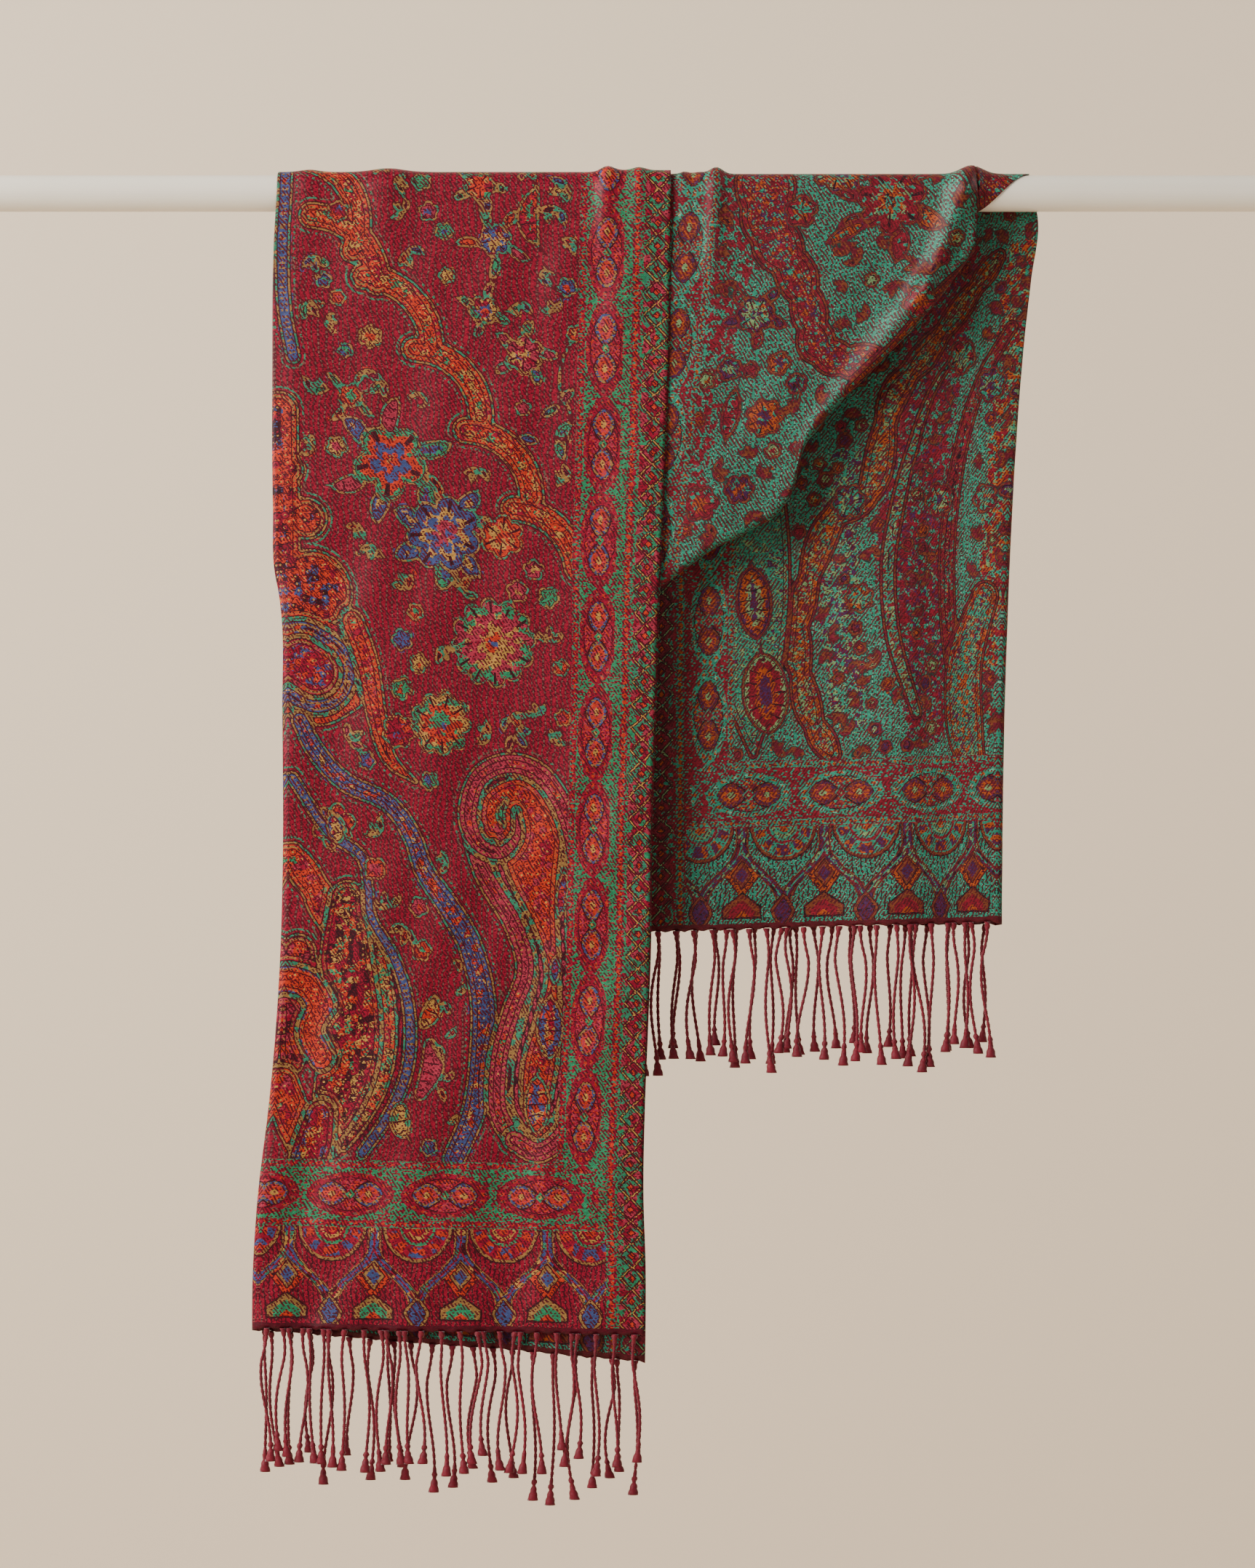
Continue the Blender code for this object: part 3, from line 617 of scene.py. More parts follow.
def weave_front_field(pattern):
    """The field as it hangs in front: garlands and flowers above, and great curled leaves below."""
    arcs = []
    for w, d, start, end in (
        (248, 729, 1.6, 3.1), (211, 687, 1.6, 3.1), (176, 637, 1.6, 3.1), (140, 581, 1.6, 3.1),
        (106, 527, 1.6, 3.0), (262, 770, 1.9, 3.5)
    ):
        angles = np.linspace(start, end, 7)
        arcs.append(([(w + 48 * math.cos(angle), d + 48 * math.sin(angle)) for angle in angles], 9.5))
    pattern.joined(arcs, GARLAND)
    pattern.stroke([(268, 841), (266, 805), (266, 759), (264, 713), (258, 678)], 5.5, BLUE_RIBBON, True)
    weave_left_side(pattern)
    pattern.stroke(
        [
            (262, 424), (250, 402), (229, 382), (197, 368), (179, 346), (169, 321), (151, 297), (134, 270),
            (123, 234), (121, 198), (124, 157), (136, 122)
        ],
        [7, 7.5, 7.5, 7, 7.5, 8, 9, 9.5, 10, 10, 9.5, 9], BLUE_RIBBON, True,
    )
    weave_paisley(pattern)
    bloom = [
        (0, {GREEN: 0.95}), (5, {ORANGE: 0.95}), (12, {BLUE: 0.95}), (19, {ORANGE: 0.95}), (24, {CREAM: 0.95})
    ]
    pattern.spray(191, 606, 21, 6, 0.5, LEAVES, 0.7)
    pattern.flower(191, 606, 27, 5, 0.3, bloom, 0.42)
    pattern.spray(153, 556, 22, 7, 0.2, (BLUE_LEAF, GREEN_LEAF, BLUE_LEAF, PINK_LEAF), 0.45)
    pattern.flower(
        153, 556, 27, 7, 0.1, [(0, {BLUE: 0.95}), (8, {CREAM: 0.9}), (13, {BLUE: 0.95}), (18, {PINK: 0.95}),
        (23, {CREAM: 0.95})], 0.36
    )
    pattern.flower(
        120, 481, 32, 12, 0.1, [(0, {GREEN: 0.55, PINK: 0.35}), (10, {PINK: 0.5, CREAM: 0.4}), (19,
        {CREAM: 0.9}), (25, {ORANGE: 0.95}), (29, {BLUE: 0.95})], 0.22
    )
    pattern.flower(
        158, 424, 23, 9, 0.3, [(0, {CREAM: 0.6, GREEN: 0.3}), (8, {ORANGE: 0.9}), (14, {GREEN: 0.9}), (19,
        {BLUE: 0.95})], 0.3
    )
    pattern.flower(112, 555, 16, 6, 0.5, [(0, {ORANGE: 0.9}), (6, {CREAM: 0.9}), (10, {ORANGE: 0.9})], 0.3)
    pattern.flower(189, 418, 13, 7, 0.3, [(0, {CREAM: 0.7}), (2, {ORANGE: 0.5}), (7, {BLUE: 0.5})], 0.3)
    pattern.spray(120, 762, 12, 5, 0.9, (GREEN_LEAF, ORANGE_LEAF, PINK_LEAF), 0.8)
    pattern.flower(
        120, 762, 12, 6, 0.3, [(0, {BLUE: 0.7, CREAM: 0.1}), (5, {CREAM: 0.6, BLUE: 0.3}), (9, {CREAM: 0.9})]
    )
    pattern.spray(127, 713, 10, 4, 0.2, (GREEN_LEAF, PINK_LEAF), 0.6)
    pattern.flower(
        127, 713, 11, 6, 0.0, [(0, {CREAM: 0.5, GREEN: 0.3}), (5, {BLUE: 0.6}), (8, {ORANGE: 0.9})]
    )
    pattern.spray(99, 683, 13, 5, 0.4, (PINK_LEAF, GREEN_LEAF), 0.5)
    pattern.flower(
        99, 683, 14, 6, 0.5, [(0, {CREAM: 0.6, PINK: 0.2}), (2, {PINK: 0.6, CREAM: 0.2}), (8, {BLUE: 0.5,
        CREAM: 0.3})]
    )
    pattern.stroke(
        [(64, 698), (72, 680), (74, 660), (66, 640), (70, 615)], 1.2, [(0, {GREEN: 0.5, CREAM: 0.3})]
    )
    for w, d, turn in ((73, 648, 2.2), (66, 636, -0.8), (86, 640, 2.6), (70, 610, 1.2), (88, 622, 0.2)):
        pattern.leaf((w, d), (w + 17 * math.cos(turn), d + 17 * math.sin(turn)), 7, LEAVES[int(w) % 4])
    pattern.flower(64, 698, 7, 5, 0.5, [(0, {ORANGE: 0.8}), (4, {CREAM: 0.6})])
    pattern.flower(205, 693, 9, 6, 0.5, [(0, {CREAM: 0.7}), (5, {ORANGE: 0.9})])
    pattern.spray(219, 652, 9, 4, 0.5, (GREEN_LEAF, ORANGE_LEAF), 0.9)
    pattern.flower(219, 652, 9, 5, 0.5, [(0, {ORANGE: 0.6, CREAM: 0.2}), (5, {GREEN: 0.8})])
    pattern.flower(229, 780, 8, 6, 0.5, [(0, {ORANGE: 0.6}), (4, {BLUE: 0.8})])
    pattern.spray(132, 800, 11, 5, 0.5, (GREEN_LEAF, BLUE_LEAF), 0.5)
    pattern.flower(132, 800, 12, 5, 0.5, [GREEN_EDGE, (3, {ORANGE: 0.5, CREAM: 0.2})])
    pattern.leaf((92, 800), (84, 752), 15, [GREEN_EDGE, (2, {ORANGE: 0.5}), (5, {GREEN: 0.7})], 0.2)
    pattern.scroll(171, 647, 8, 0.5, 1, [(0, {GREEN: 0.8})], 1.8)
    pattern.stroke(
        [(237, 150), (240, 128), (246, 110), (254, 102)], [12, 15, 12, 4],
        [(0, {CREAM: 0.4, BLUE: 0.3}), (2, {DARK: 0.5}), (4, {BLUE: 0.5}), (8, {ORANGE: 0.4, CREAM: 0.2})],
        True
    )
    fill_sprigs(pattern, 68, 262, 128, 880, 21, 21)


def weave_swag_field(pattern):
    """The field on the swag, whose ground is green."""
    lobed = [(0, {GREEN: 0.62, ORANGE: 0.1}), (7, {GREEN: 0.5, BLUE: 0.14, ORANGE: 0.16})]
    pattern.wash([(72, 541), (76, 620), (70, 720), (66, 820)], [22, 20, 14, 10], {GREEN: 0.4, PINK: 0.12})
    pattern.wash([(150, 780), (190, 740), (230, 690), (262, 640)], [16, 18, 20, 20], {GREEN: 0.3, BLUE: 0.16})
    pattern.stroke(
        [(92, 566), (96, 592), (104, 616), (121, 640), (134, 668), (142, 690), (160, 700), (182, 702)],
        [18, 17, 14, 11, 9, 10, 9, 11], lobed, True, 8, 4
    )
    pattern.stroke([(240, 560), (262, 600), (250, 640)], [10, 14, 9], lobed, True, 4, 3)
    pattern.stroke(
        [(170, 720), (200, 690), (230, 650), (262, 620)], [6, 8, 8, 6], [(0, {ORANGE: 0.5, GREEN: 0.3})], True
    )
    red = [
        (0, {ORANGE: 0.6, GREEN: 0.2}), (1.6, {GREEN: 0.8}), (10, {GREEN: 0.3, CREAM: 0.2}),
        (15, {ORANGE: 0.6}), (20, {DARK: 0.6})
    ]
    pattern.spray(182, 588, 22, 6, 0.2, ([(0, {BLUE: 0.7}), (1.6, {ORANGE: 0.7})], [(0, {GREEN: 0.8})]), 0.6)
    pattern.flower(182, 588, 25, 7, 0.3, red, 0.35)
    pattern.flower(
        146, 562, 22, 9, 0.3, [(0, {BLUE: 0.7}), (2, {ORANGE: 0.55, CREAM: 0.15}), (12, {BLUE: 0.6})], 0.3
    )
    pattern.flower(120, 596, 12, 5, 0.3, [(0, {GREEN: 0.8}), (5, {ORANGE: 0.6})])
    pattern.spray(96, 668, 13, 5, 0.1, ([(0, {BLUE: 0.7})], [(0, {GREEN: 0.7})]), 0.5)
    pattern.flower(96, 668, 14, 7, 0.3, [(0, {BLUE: 0.7}), (4, {CREAM: 0.5, ORANGE: 0.2}), (10, {BLUE: 0.8})])
    pattern.flower(110, 740, 14, 7, 0.1, [(0, {ORANGE: 0.75}), (8, {BLUE: 0.9})])
    pattern.flower(116, 702, 9, 5, 0.1, [(0, {ORANGE: 0.8}), (5, {BLUE: 0.9})])
    pattern.flower(130, 716, 8, 5, 0.6, [(0, {BLUE: 0.7}), (5, {DARK: 0.9})])
    pattern.flower(82, 706, 9, 5, 0.6, [(0, {BLUE: 0.5, DARK: 0.2}), (5, {CREAM: 0.5})])
    pattern.flower(72, 800, 13, 6, 0.1, [(0, {GREEN: 0.7}), (7, {ORANGE: 0.9})])
    pattern.flower(98, 790, 11, 6, 0.1, [(0, {BLUE: 0.7}), (6, {ORANGE: 0.9})])
    pattern.flower(210, 660, 13, 6, 0.1, [(0, {GREEN: 0.7}), (7, {ORANGE: 0.9})])
    pattern.leaf((88, 720), (84, 762), 13, [(0, {GREEN: 0.75})])
    pattern.leaf((140, 618), (172, 600), 10, [(0, {BLUE: 0.8}), (1.6, {ORANGE: 0.7})])
    fill_sprigs(pattern, 66, 300, 520, 900, 17, 33)


def weave_back_field(pattern):
    """The field on the fall behind: a long drop, broad curved bands and a great curled leaf."""
    band = [(0, {ORANGE: 0.55, PINK: 0.2}), (5, {ORANGE: 0.35, CREAM: 0.25, PINK: 0.2})]
    wine = [(0, {GREEN: 0.6, PINK: 0.16}), (6, {GREEN: 0.4, BLUE: 0.2, ORANGE: 0.1})]
    speckled = [(0, {GREEN: 0.3}), (1.2, {CREAM: 0.2, GREEN: 0.2, BLUE: 0.12})]
    pattern.wash(
        [(210, 460), (196, 380), (190, 300), (196, 220), (208, 150)], [26, 30, 32, 30, 26],
        {GREEN: 0.4, PINK: 0.14, BLUE: 0.12}
    )
    pattern.wash([(262, 470), (262, 300), (258, 150)], [16, 14, 14], {GREEN: 0.3, ORANGE: 0.2, CREAM: 0.12})
    pattern.wash([(140, 330), (136, 240), (146, 150)], [16, 20, 16], {BLUE: 0.2, CREAM: 0.2, GREEN: 0.1})
    pattern.wash([(62, 480), (72, 400), (70, 330)], [24, 24, 18], {GREEN: 0.42, PINK: 0.2})
    pattern.stroke(
        [(244, 470), (223, 443), (192, 404), (169, 371), (158, 310), (130, 287), (112, 234), (108, 196), (118,
        150), (134, 122)], [6, 7, 8, 8, 9, 9, 8, 8, 8, 7], band, True, 11, 3
    )
    pattern.stroke(
        [(214, 400), (196, 372), (184, 330), (176, 290), (172, 250), (178, 200), (196, 150)],
        [3, 4, 5, 6, 6, 6, 5], speckled, True
    )
    pattern.stroke(
        [(262, 420), (240, 380), (226, 330), (220, 270), (224, 210), (236, 150)], [5, 6, 7, 8, 8, 7], wine,
        True
    )
    pattern.leaf(
        (76, 124), (80, 410), 60, [(0, {GREEN: 0.3}), (3, {CREAM: 0.16, BLUE: 0.12}), (14, {CREAM: 0.14,
        BLUE: 0.1})], 0.02, True
    )
    pattern.leaf(
        (78, 206), (72, 266), 26, [(0, {BLUE: 0.95}), (3, {ORANGE: 0.95}), (7, {CREAM: 0.95}), (10,
        {BLUE: 0.95})]
    )
    pattern.leaf(
        (88, 140), (80, 204), 34, [(0, {CREAM: 0.95}), (4, {GREEN: 0.95}), (9, {ORANGE: 0.95}), (13,
        {BLUE: 0.95})]
    )
    pattern.stroke(
        [(256, 230), (240, 184), (242, 136), (254, 108)], [12, 17, 17, 8],
        [(0, {CREAM: 0.5}), (2, {ORANGE: 0.4, GREEN: 0.2}), (8, {BLUE: 0.3, CREAM: 0.2}), (12,
        {ORANGE: 0.4})], True
    )
    for w, d in (
        (142, 300), (152, 232), (210, 300), (142, 390), (158, 440), (222, 400), (252, 300), (250, 380),
        (64, 430), (90, 470)
    ):
        pattern.flower(
            w, d, 11 + (w + d) % 4, 5 + w % 3, 0.01 * d,
            [(0, ({GREEN: 0.6}, {BLUE: 0.5}, {ORANGE: 0.4})[int(w) % 3]), (5, {CREAM: 0.3, ORANGE: 0.2}), (9,
            {BLUE: 0.6})]
        )
    fill_sprigs(pattern, 66, 270, 124, 520, 15, 45, 0.24)


def add_pattern(mesh, w, d, weave):
    """Keeps the cloth's own place and its pattern on the mesh, for the weave to read."""
    seen_w = HALF_WIDTH - np.abs(HALF_WIDTH - w)
    pattern = Pattern(seen_w, d)
    weave(pattern)
    fields = {
        "main_yarns": pattern.yarns[:, :3],
        "other_yarns": pattern.yarns[:, 3:],
        "shapes": np.stack([pattern.large, pattern.small, pattern.along], axis=-1),
    }
    for name, values in fields.items():
        made = mesh.attributes.new(name, "FLOAT_VECTOR", "POINT")
        made.data.foreach_set("vector", values.astype(np.float32).ravel())
    corners = np.empty(len(mesh.loops), np.int32)
    mesh.loops.foreach_get("vertex_index", corners)
    flat = mesh.uv_layers.new(name="Cloth")
    flat.data.foreach_set("uv", np.stack([seen_w[corners], d[corners]], axis=-1).astype(np.float32).ravel())


# Making pieces


def linked_object(name, mesh, body="root"):
    made = bpy.data.objects.new(name, mesh)
    bpy.context.scene.collection.objects.link(made)
    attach(made, body)
    return made


def new_sheet(name, columns, rows, place, weave, faces, sample, towards):
    """A sheet of cloth: a grid whose points place() finds, with its face towards the direction given at
    the sample, and a wall added evenly. faces are the materials of its face and its reverse."""
    sizes = bpy.context.scene.shawl_sizes
    shape = bmesh.new()
    bmesh.ops.create_grid(shape, x_segments=columns - 1, y_segments=rows - 1, size=0.5)
    mesh = bpy.data.meshes.new(name)
    shape.to_mesh(mesh)
    shape.free()
    flat = np.empty(len(mesh.vertices) * 3, np.float32)
    mesh.vertices.foreach_get("co", flat)
    flat = flat.reshape(-1, 3)
    column = np.rint((flat[:, 0] + 0.5) * (columns - 1)).astype(int)
    row = np.rint((flat[:, 1] + 0.5) * (rows - 1)).astype(int)
    points, w, d = place(column, row)
    mesh.vertices.foreach_set("co", (points * MM).astype(np.float32).ravel())
    mesh.update()
    add_pattern(mesh, w, d, weave)
    near = np.argmin((column - sample[0]) ** 2 + (row - sample[1]) ** 2)
    if mesh.vertices[int(near)].normal.dot(Vector(towards)) < 0:
        mesh.flip_normals()
    mesh.shade_smooth()
    for material in faces:
        mesh.materials.append(material)
    made = linked_object(name, mesh)
    wall = made.modifiers.new("Cloth", "SOLIDIFY")
    wall.thickness = sizes.cloth_thickness
    wall.offset = 0
    wall.material_offset = 1
    wall.material_offset_rim = 0
    return made


def across_fall(shares, turns, outer):
    """Arrays for the places across a fall: whether outer, the share across, and the turn."""
    rows = [(1.0, share, -1.0) for share in reversed(shares)] if outer else []
    rows += [(1.0, 0.0, turn) for turn in turns]
    if not outer:
        rows += [(0.0, share, -1.0) for share in shares]
    return np.array(rows)


def hem_scallop(share, roots, hang_share):
    """The hem dips to each fringe root and lifts between them."""
    return 1.6 * np.abs(np.sin(share * roots * math.pi)) ** 0.8 * smooth_step(0.975, 1, hang_share)


def front_fall_sheet(name, outer):
    step = bpy.context.scene.shawl_sizes.grid_step / MM * (1 if outer else FRONT_HIDDEN_STEP)
    count = round(HALF_WIDTH / step)
    shares = [index / count for index in range(1 if outer else 0, count + 1)]
    turns = [index / FOLD_STEPS for index in range(FOLD_STEPS + 1)] if outer else []
    across = across_fall(shares, turns, outer)
    hang_rows, wrap_rows = round(FRONT_DROP / step), round(2 * QUARTER_RUN / step)
    amounts = np.concatenate([np.linspace(1, 0, hang_rows, endpoint=False), np.zeros(wrap_rows + 1)])
    wraps = np.concatenate(
        [np.full(hang_rows, -QUARTER_RUN), np.linspace(-QUARTER_RUN, QUARTER_RUN, wrap_rows + 1)]
    )

    def place(column, row):
        far, share, turn = across[column].T
        turned = np.clip(turn, 0, 1)
        hem = fall_hem(FRONT_FALL, far, share)
        hem = np.where(turn >= 0, blend_between(FRONT_HEM[0], FRONT_INNER_HEM[0], turned), hem)
        z = hem * amounts[row]
        z = z + hem_scallop(1 - share, HEM_ROOTS, amounts[row])
        run = np.where(amounts[row] > 0, z - QUARTER_RUN, wraps[row])
        points, w = fall_points(FRONT_FALL, far, share, turn, np.minimum(z, 0), run)
        return points, w, run + QUARTER_RUN - hem

    faces = (bpy.data.materials["Silk, red face"], bpy.data.materials["Silk, green face"])
    towards = (0, -1, 0) if outer else (0, 1, 0)
    made = new_sheet(name, len(across), len(amounts), place, weave_front_field, faces, (20, 100), towards)
    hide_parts("front_fall")
    return made


def back_fall_sheet(name, outer):
    step = bpy.context.scene.shawl_sizes.grid_step / MM * (BACK_HIDDEN_STEP if outer else 1)
    count = round(HALF_WIDTH / step)
    shares = [index / count for index in range(0 if outer else 1, count + 1)]
    turns = [] if outer else [1 - index / FOLD_STEPS for index in range(FOLD_STEPS + 1)]
    if outer:
        across = np.array([(1.0, share, -1.0) for share in shares])
    else:
        flat = [(0.0, share, -1.0) for share in reversed(shares)]
        across = np.array(flat + [(1.0, 0.0, turn) for turn in turns])
    rows = round(BACK_DROP / step)
    downs = np.linspace(1, 0, rows)

    def place(column, row):
        far, share, turn = across[column].T
        turned = np.clip(turn, 0, 1)
        hem = fall_hem(BACK_FALL, far, share)
        hem = np.where(turn >= 0, blend_between(BACK_OUTER_HEM[0], BACK_HEM[0], turned), hem)
        z = -SEAM_GAP + (hem + SEAM_GAP) * downs[row]
        z = z + hem_scallop(1 - share, HEM_ROOTS, downs[row])
        points, w = fall_points(BACK_FALL, far, share, turn, z, QUARTER_RUN - z)
        w = np.maximum(0, np.where(points[:, 0] < 16, 0, w - 15 + 15 * smooth_step(200, 271, w)))
        return points, w, z - hem

    faces = (bpy.data.materials["Silk, green face"], bpy.data.materials["Silk, red face"])
    towards = (0, 1, 0) if outer else (0, -1, 0)
    made = new_sheet(name, len(across), rows, place, weave_back_field, faces, (30, 60), towards)
    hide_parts("back_fall")
    return made


def rolled_points(x, y, z, side, radius, share, climb):
    """Points round a swag's roll, by share, and then up inside it, by climb."""
    centre = y - side * radius
    angle = math.pi * share
    round_y = centre + side * radius * np.cos(angle)
    round_z = z - radius * np.sin(angle)
    return round_y, blend_between(round_z, UNDER_RAIL, climb)


def front_swag_sheet():
    step = bpy.context.scene.shawl_sizes.grid_step / MM
    columns = round((SWAG_RIGHT - SWAG_LEFT) / step)
    places = np.linspace(SWAG_LEFT, SWAG_RIGHT, columns)
    wrap_rows, hang_rows, roll_rows, inside_rows = 18, round(230 / step), ROLL_STEPS, 26
    rows = wrap_rows + hang_rows + roll_rows + inside_rows + 1
    first = QUARTER_RUN - SEAM_GAP

    def parts(row):
        wrap = np.clip(row / wrap_rows, 0, 1)
        hang = np.clip((row - wrap_rows) / hang_rows, 0, 1)
        roll = np.clip((row - wrap_rows - hang_rows) / roll_rows, 0, 1)
        climb = np.clip((row - wrap_rows - hang_rows - roll_rows) / inside_rows, 0, 1)
        return wrap, hang, roll, climb

    def hanging(x, row):
        wrap, hang, roll, climb = parts(row)
        edge = table_curve(FRONT_SWAG_LOWER_EDGE, 1, x)
        radius = table_curve(FRONT_SWAG_LOWER_EDGE, 2, x)
        roll_run = -QUARTER_RUN + edge + radius
        wrapped = blend_between(first, -QUARTER_RUN, wrap)
        run = np.where(row < wrap_rows, wrapped, blend_between(-QUARTER_RUN, roll_run, hang))
        points = on_cloth(x, run, front_swag_out(x, run))
        rolled_y, rolled_z = rolled_points(x, points[:, 1], points[:, 2], -1, radius, roll, climb)
        rolling = roll > 0
        points[:, 1] = np.where(rolling, rolled_y, points[:, 1])
        points[:, 2] = np.where(rolling, rolled_z, points[:, 2])
        past = radius * math.pi * roll + np.maximum(0, points[:, 2] - edge - radius) * (climb > 0)
        return points, first - run + past

    whole, _ = hanging(np.full(rows, ROLL_ENDS_AT), np.arange(rows))
    lengths = np.concatenate([[0], np.cumsum(np.linalg.norm(np.diff(whole, axis=0), axis=1))])

    def place(column, row):
        x = places[column]
        points, way = hanging(np.minimum(x, ROLL_ENDS_AT), row)
        past = np.clip((x - ROLL_ENDS_AT) / (SWAG_RIGHT - ROLL_ENDS_AT), 0, 1)
        whole_length = first - blend_between(-1.8 * QUARTER_RUN, -0.1 * QUARTER_RUN, past)
        kept = CORNER_KEEPS * whole_length
        length = lengths[row]
        squeezed = blend_between(kept, whole_length, (length - kept) / (lengths[-1] - kept))
        length = np.where(length > kept, squeezed, length)
        angle = (length - first) / QUARTER_RUN * math.pi / 2
        out = front_swag_out(x, first - length)
        corner = np.stack([x, -out * np.sin(angle), out * np.cos(angle)], axis=-1)
        points = np.where((past > 0)[:, None], corner, points)
        way = np.where(past > 0, length, way)
        hang = np.maximum(0, way - 2 * QUARTER_RUN)
        return points, np.maximum(0, x - SWAG_LEFT + FRONT_SWAG_SLANT * hang), FRONT_SWAG_STARTS + way

    faces = (bpy.data.materials["Silk, green face"], bpy.data.materials["Silk, red face"])
    made = new_sheet(
        "front_swag_cloth", columns, rows, place, weave_swag_field, faces, (40, wrap_rows + 30), (0, -1, 0)
    )
    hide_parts("front_swag")
    return made


def back_swag_sheet():
    step = bpy.context.scene.shawl_sizes.grid_step / MM * BACK_SWAG_STEP
    columns = round((BACK_SWAG_TOP_RIGHT - BACK_SWAG_LEFT) / step)
    hang_rows, roll_rows, inside_rows = round(190 / step), ROLL_STEPS, 22
    rows = hang_rows + roll_rows + inside_rows + 1
    first = QUARTER_RUN + SEAM_GAP

    def place(column, row):
        share = column / (columns - 1)
        fold_x = blend_between(BACK_SWAG_LEFT, BACK_SWAG_FOLD_RIGHT, share)
        top_x = blend_between(BACK_SWAG_LEFT, BACK_SWAG_TOP_RIGHT, share)
        radius = table_curve(BACK_SWAG_LOWER_EDGE, 2, fold_x)
        roll_run = QUARTER_RUN - table_curve(BACK_SWAG_LOWER_EDGE, 1, fold_x) - radius
        down = np.clip(row / hang_rows, 0, 1)
        roll = np.clip((row - hang_rows) / roll_rows, 0, 1)
        climb = np.clip((row - hang_rows - roll_rows) / inside_rows, 0, 1)
        run = blend_between(first, roll_run, down)
        x = blend_between(top_x, fold_x, smooth_step(0, 1, down))
        points = on_cloth(x, run, back_swag_out(x, run))
        rolled_y, rolled_z = rolled_points(x, points[:, 1], points[:, 2], 1, radius, roll, climb)
        points[:, 1] = np.where(roll > 0, rolled_y, points[:, 1])
        points[:, 2] = np.where(roll > 0, rolled_z, points[:, 2])
        return points, HALF_WIDTH * (1 - share), BACK_SWAG_STARTS + run - first + radius * math.pi * roll

    faces = (bpy.data.materials["Silk, red face"], bpy.data.materials["Silk, green face"])
    made = new_sheet("back_swag_cloth", columns, rows, place, weave_front_field, faces, (40, 20), (0, 1, 0))
    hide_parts("back_swag")
    return made


# The fringe

Strand = namedtuple("Strand", "x sway bow length")


def fringe_strands(fringe, left, right):
    """The strands along one hem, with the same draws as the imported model's."""
    draw = random.Random(fringe.seed)
    pitch = (right - left) / fringe.roots
    strands = []
    for root in range(fringe.roots):
        x = left + pitch * (root + 0.5) + draw.uniform(-0.8, 0.8)
        sway = draw.uniform(-2.6, 2.6)
        bow = draw.uniform(-1.4, 1.4)
        length = fringe.length * draw.uniform(1 - fringe.ragged, 1 + fringe.ragged)
        if draw.random() > fringe.twins:
            strands.append(Strand(x, sway, bow, length))
            continue
        strands.append(Strand(x - TWIN_SPACING, sway - TWIN_SPACING, bow, length))
        strands.append(Strand(x + TWIN_SPACING, sway + TWIN_SPACING, bow, length * draw.uniform(0.93, 1.05)))
    return strands


def tube(shape, centres, sides, section):
    """A closed tube along centres, whose section() gives the offset of each side at each ring."""
    rings = len(centres)
    made = bmesh.ops.create_grid(shape, x_segments=sides, y_segments=rings - 1, size=0.5)["verts"]
    for point in made:
        side = round((point.co.x + 0.5) * sides)
        ring = round((point.co.y + 0.5) * (rings - 1))
        offset = section(side % sides, ring)
        centre = centres[ring]
        point.co = Vector((centre[0] + offset[0], centre[1] + offset[1], centre[2])) * MM
    return made


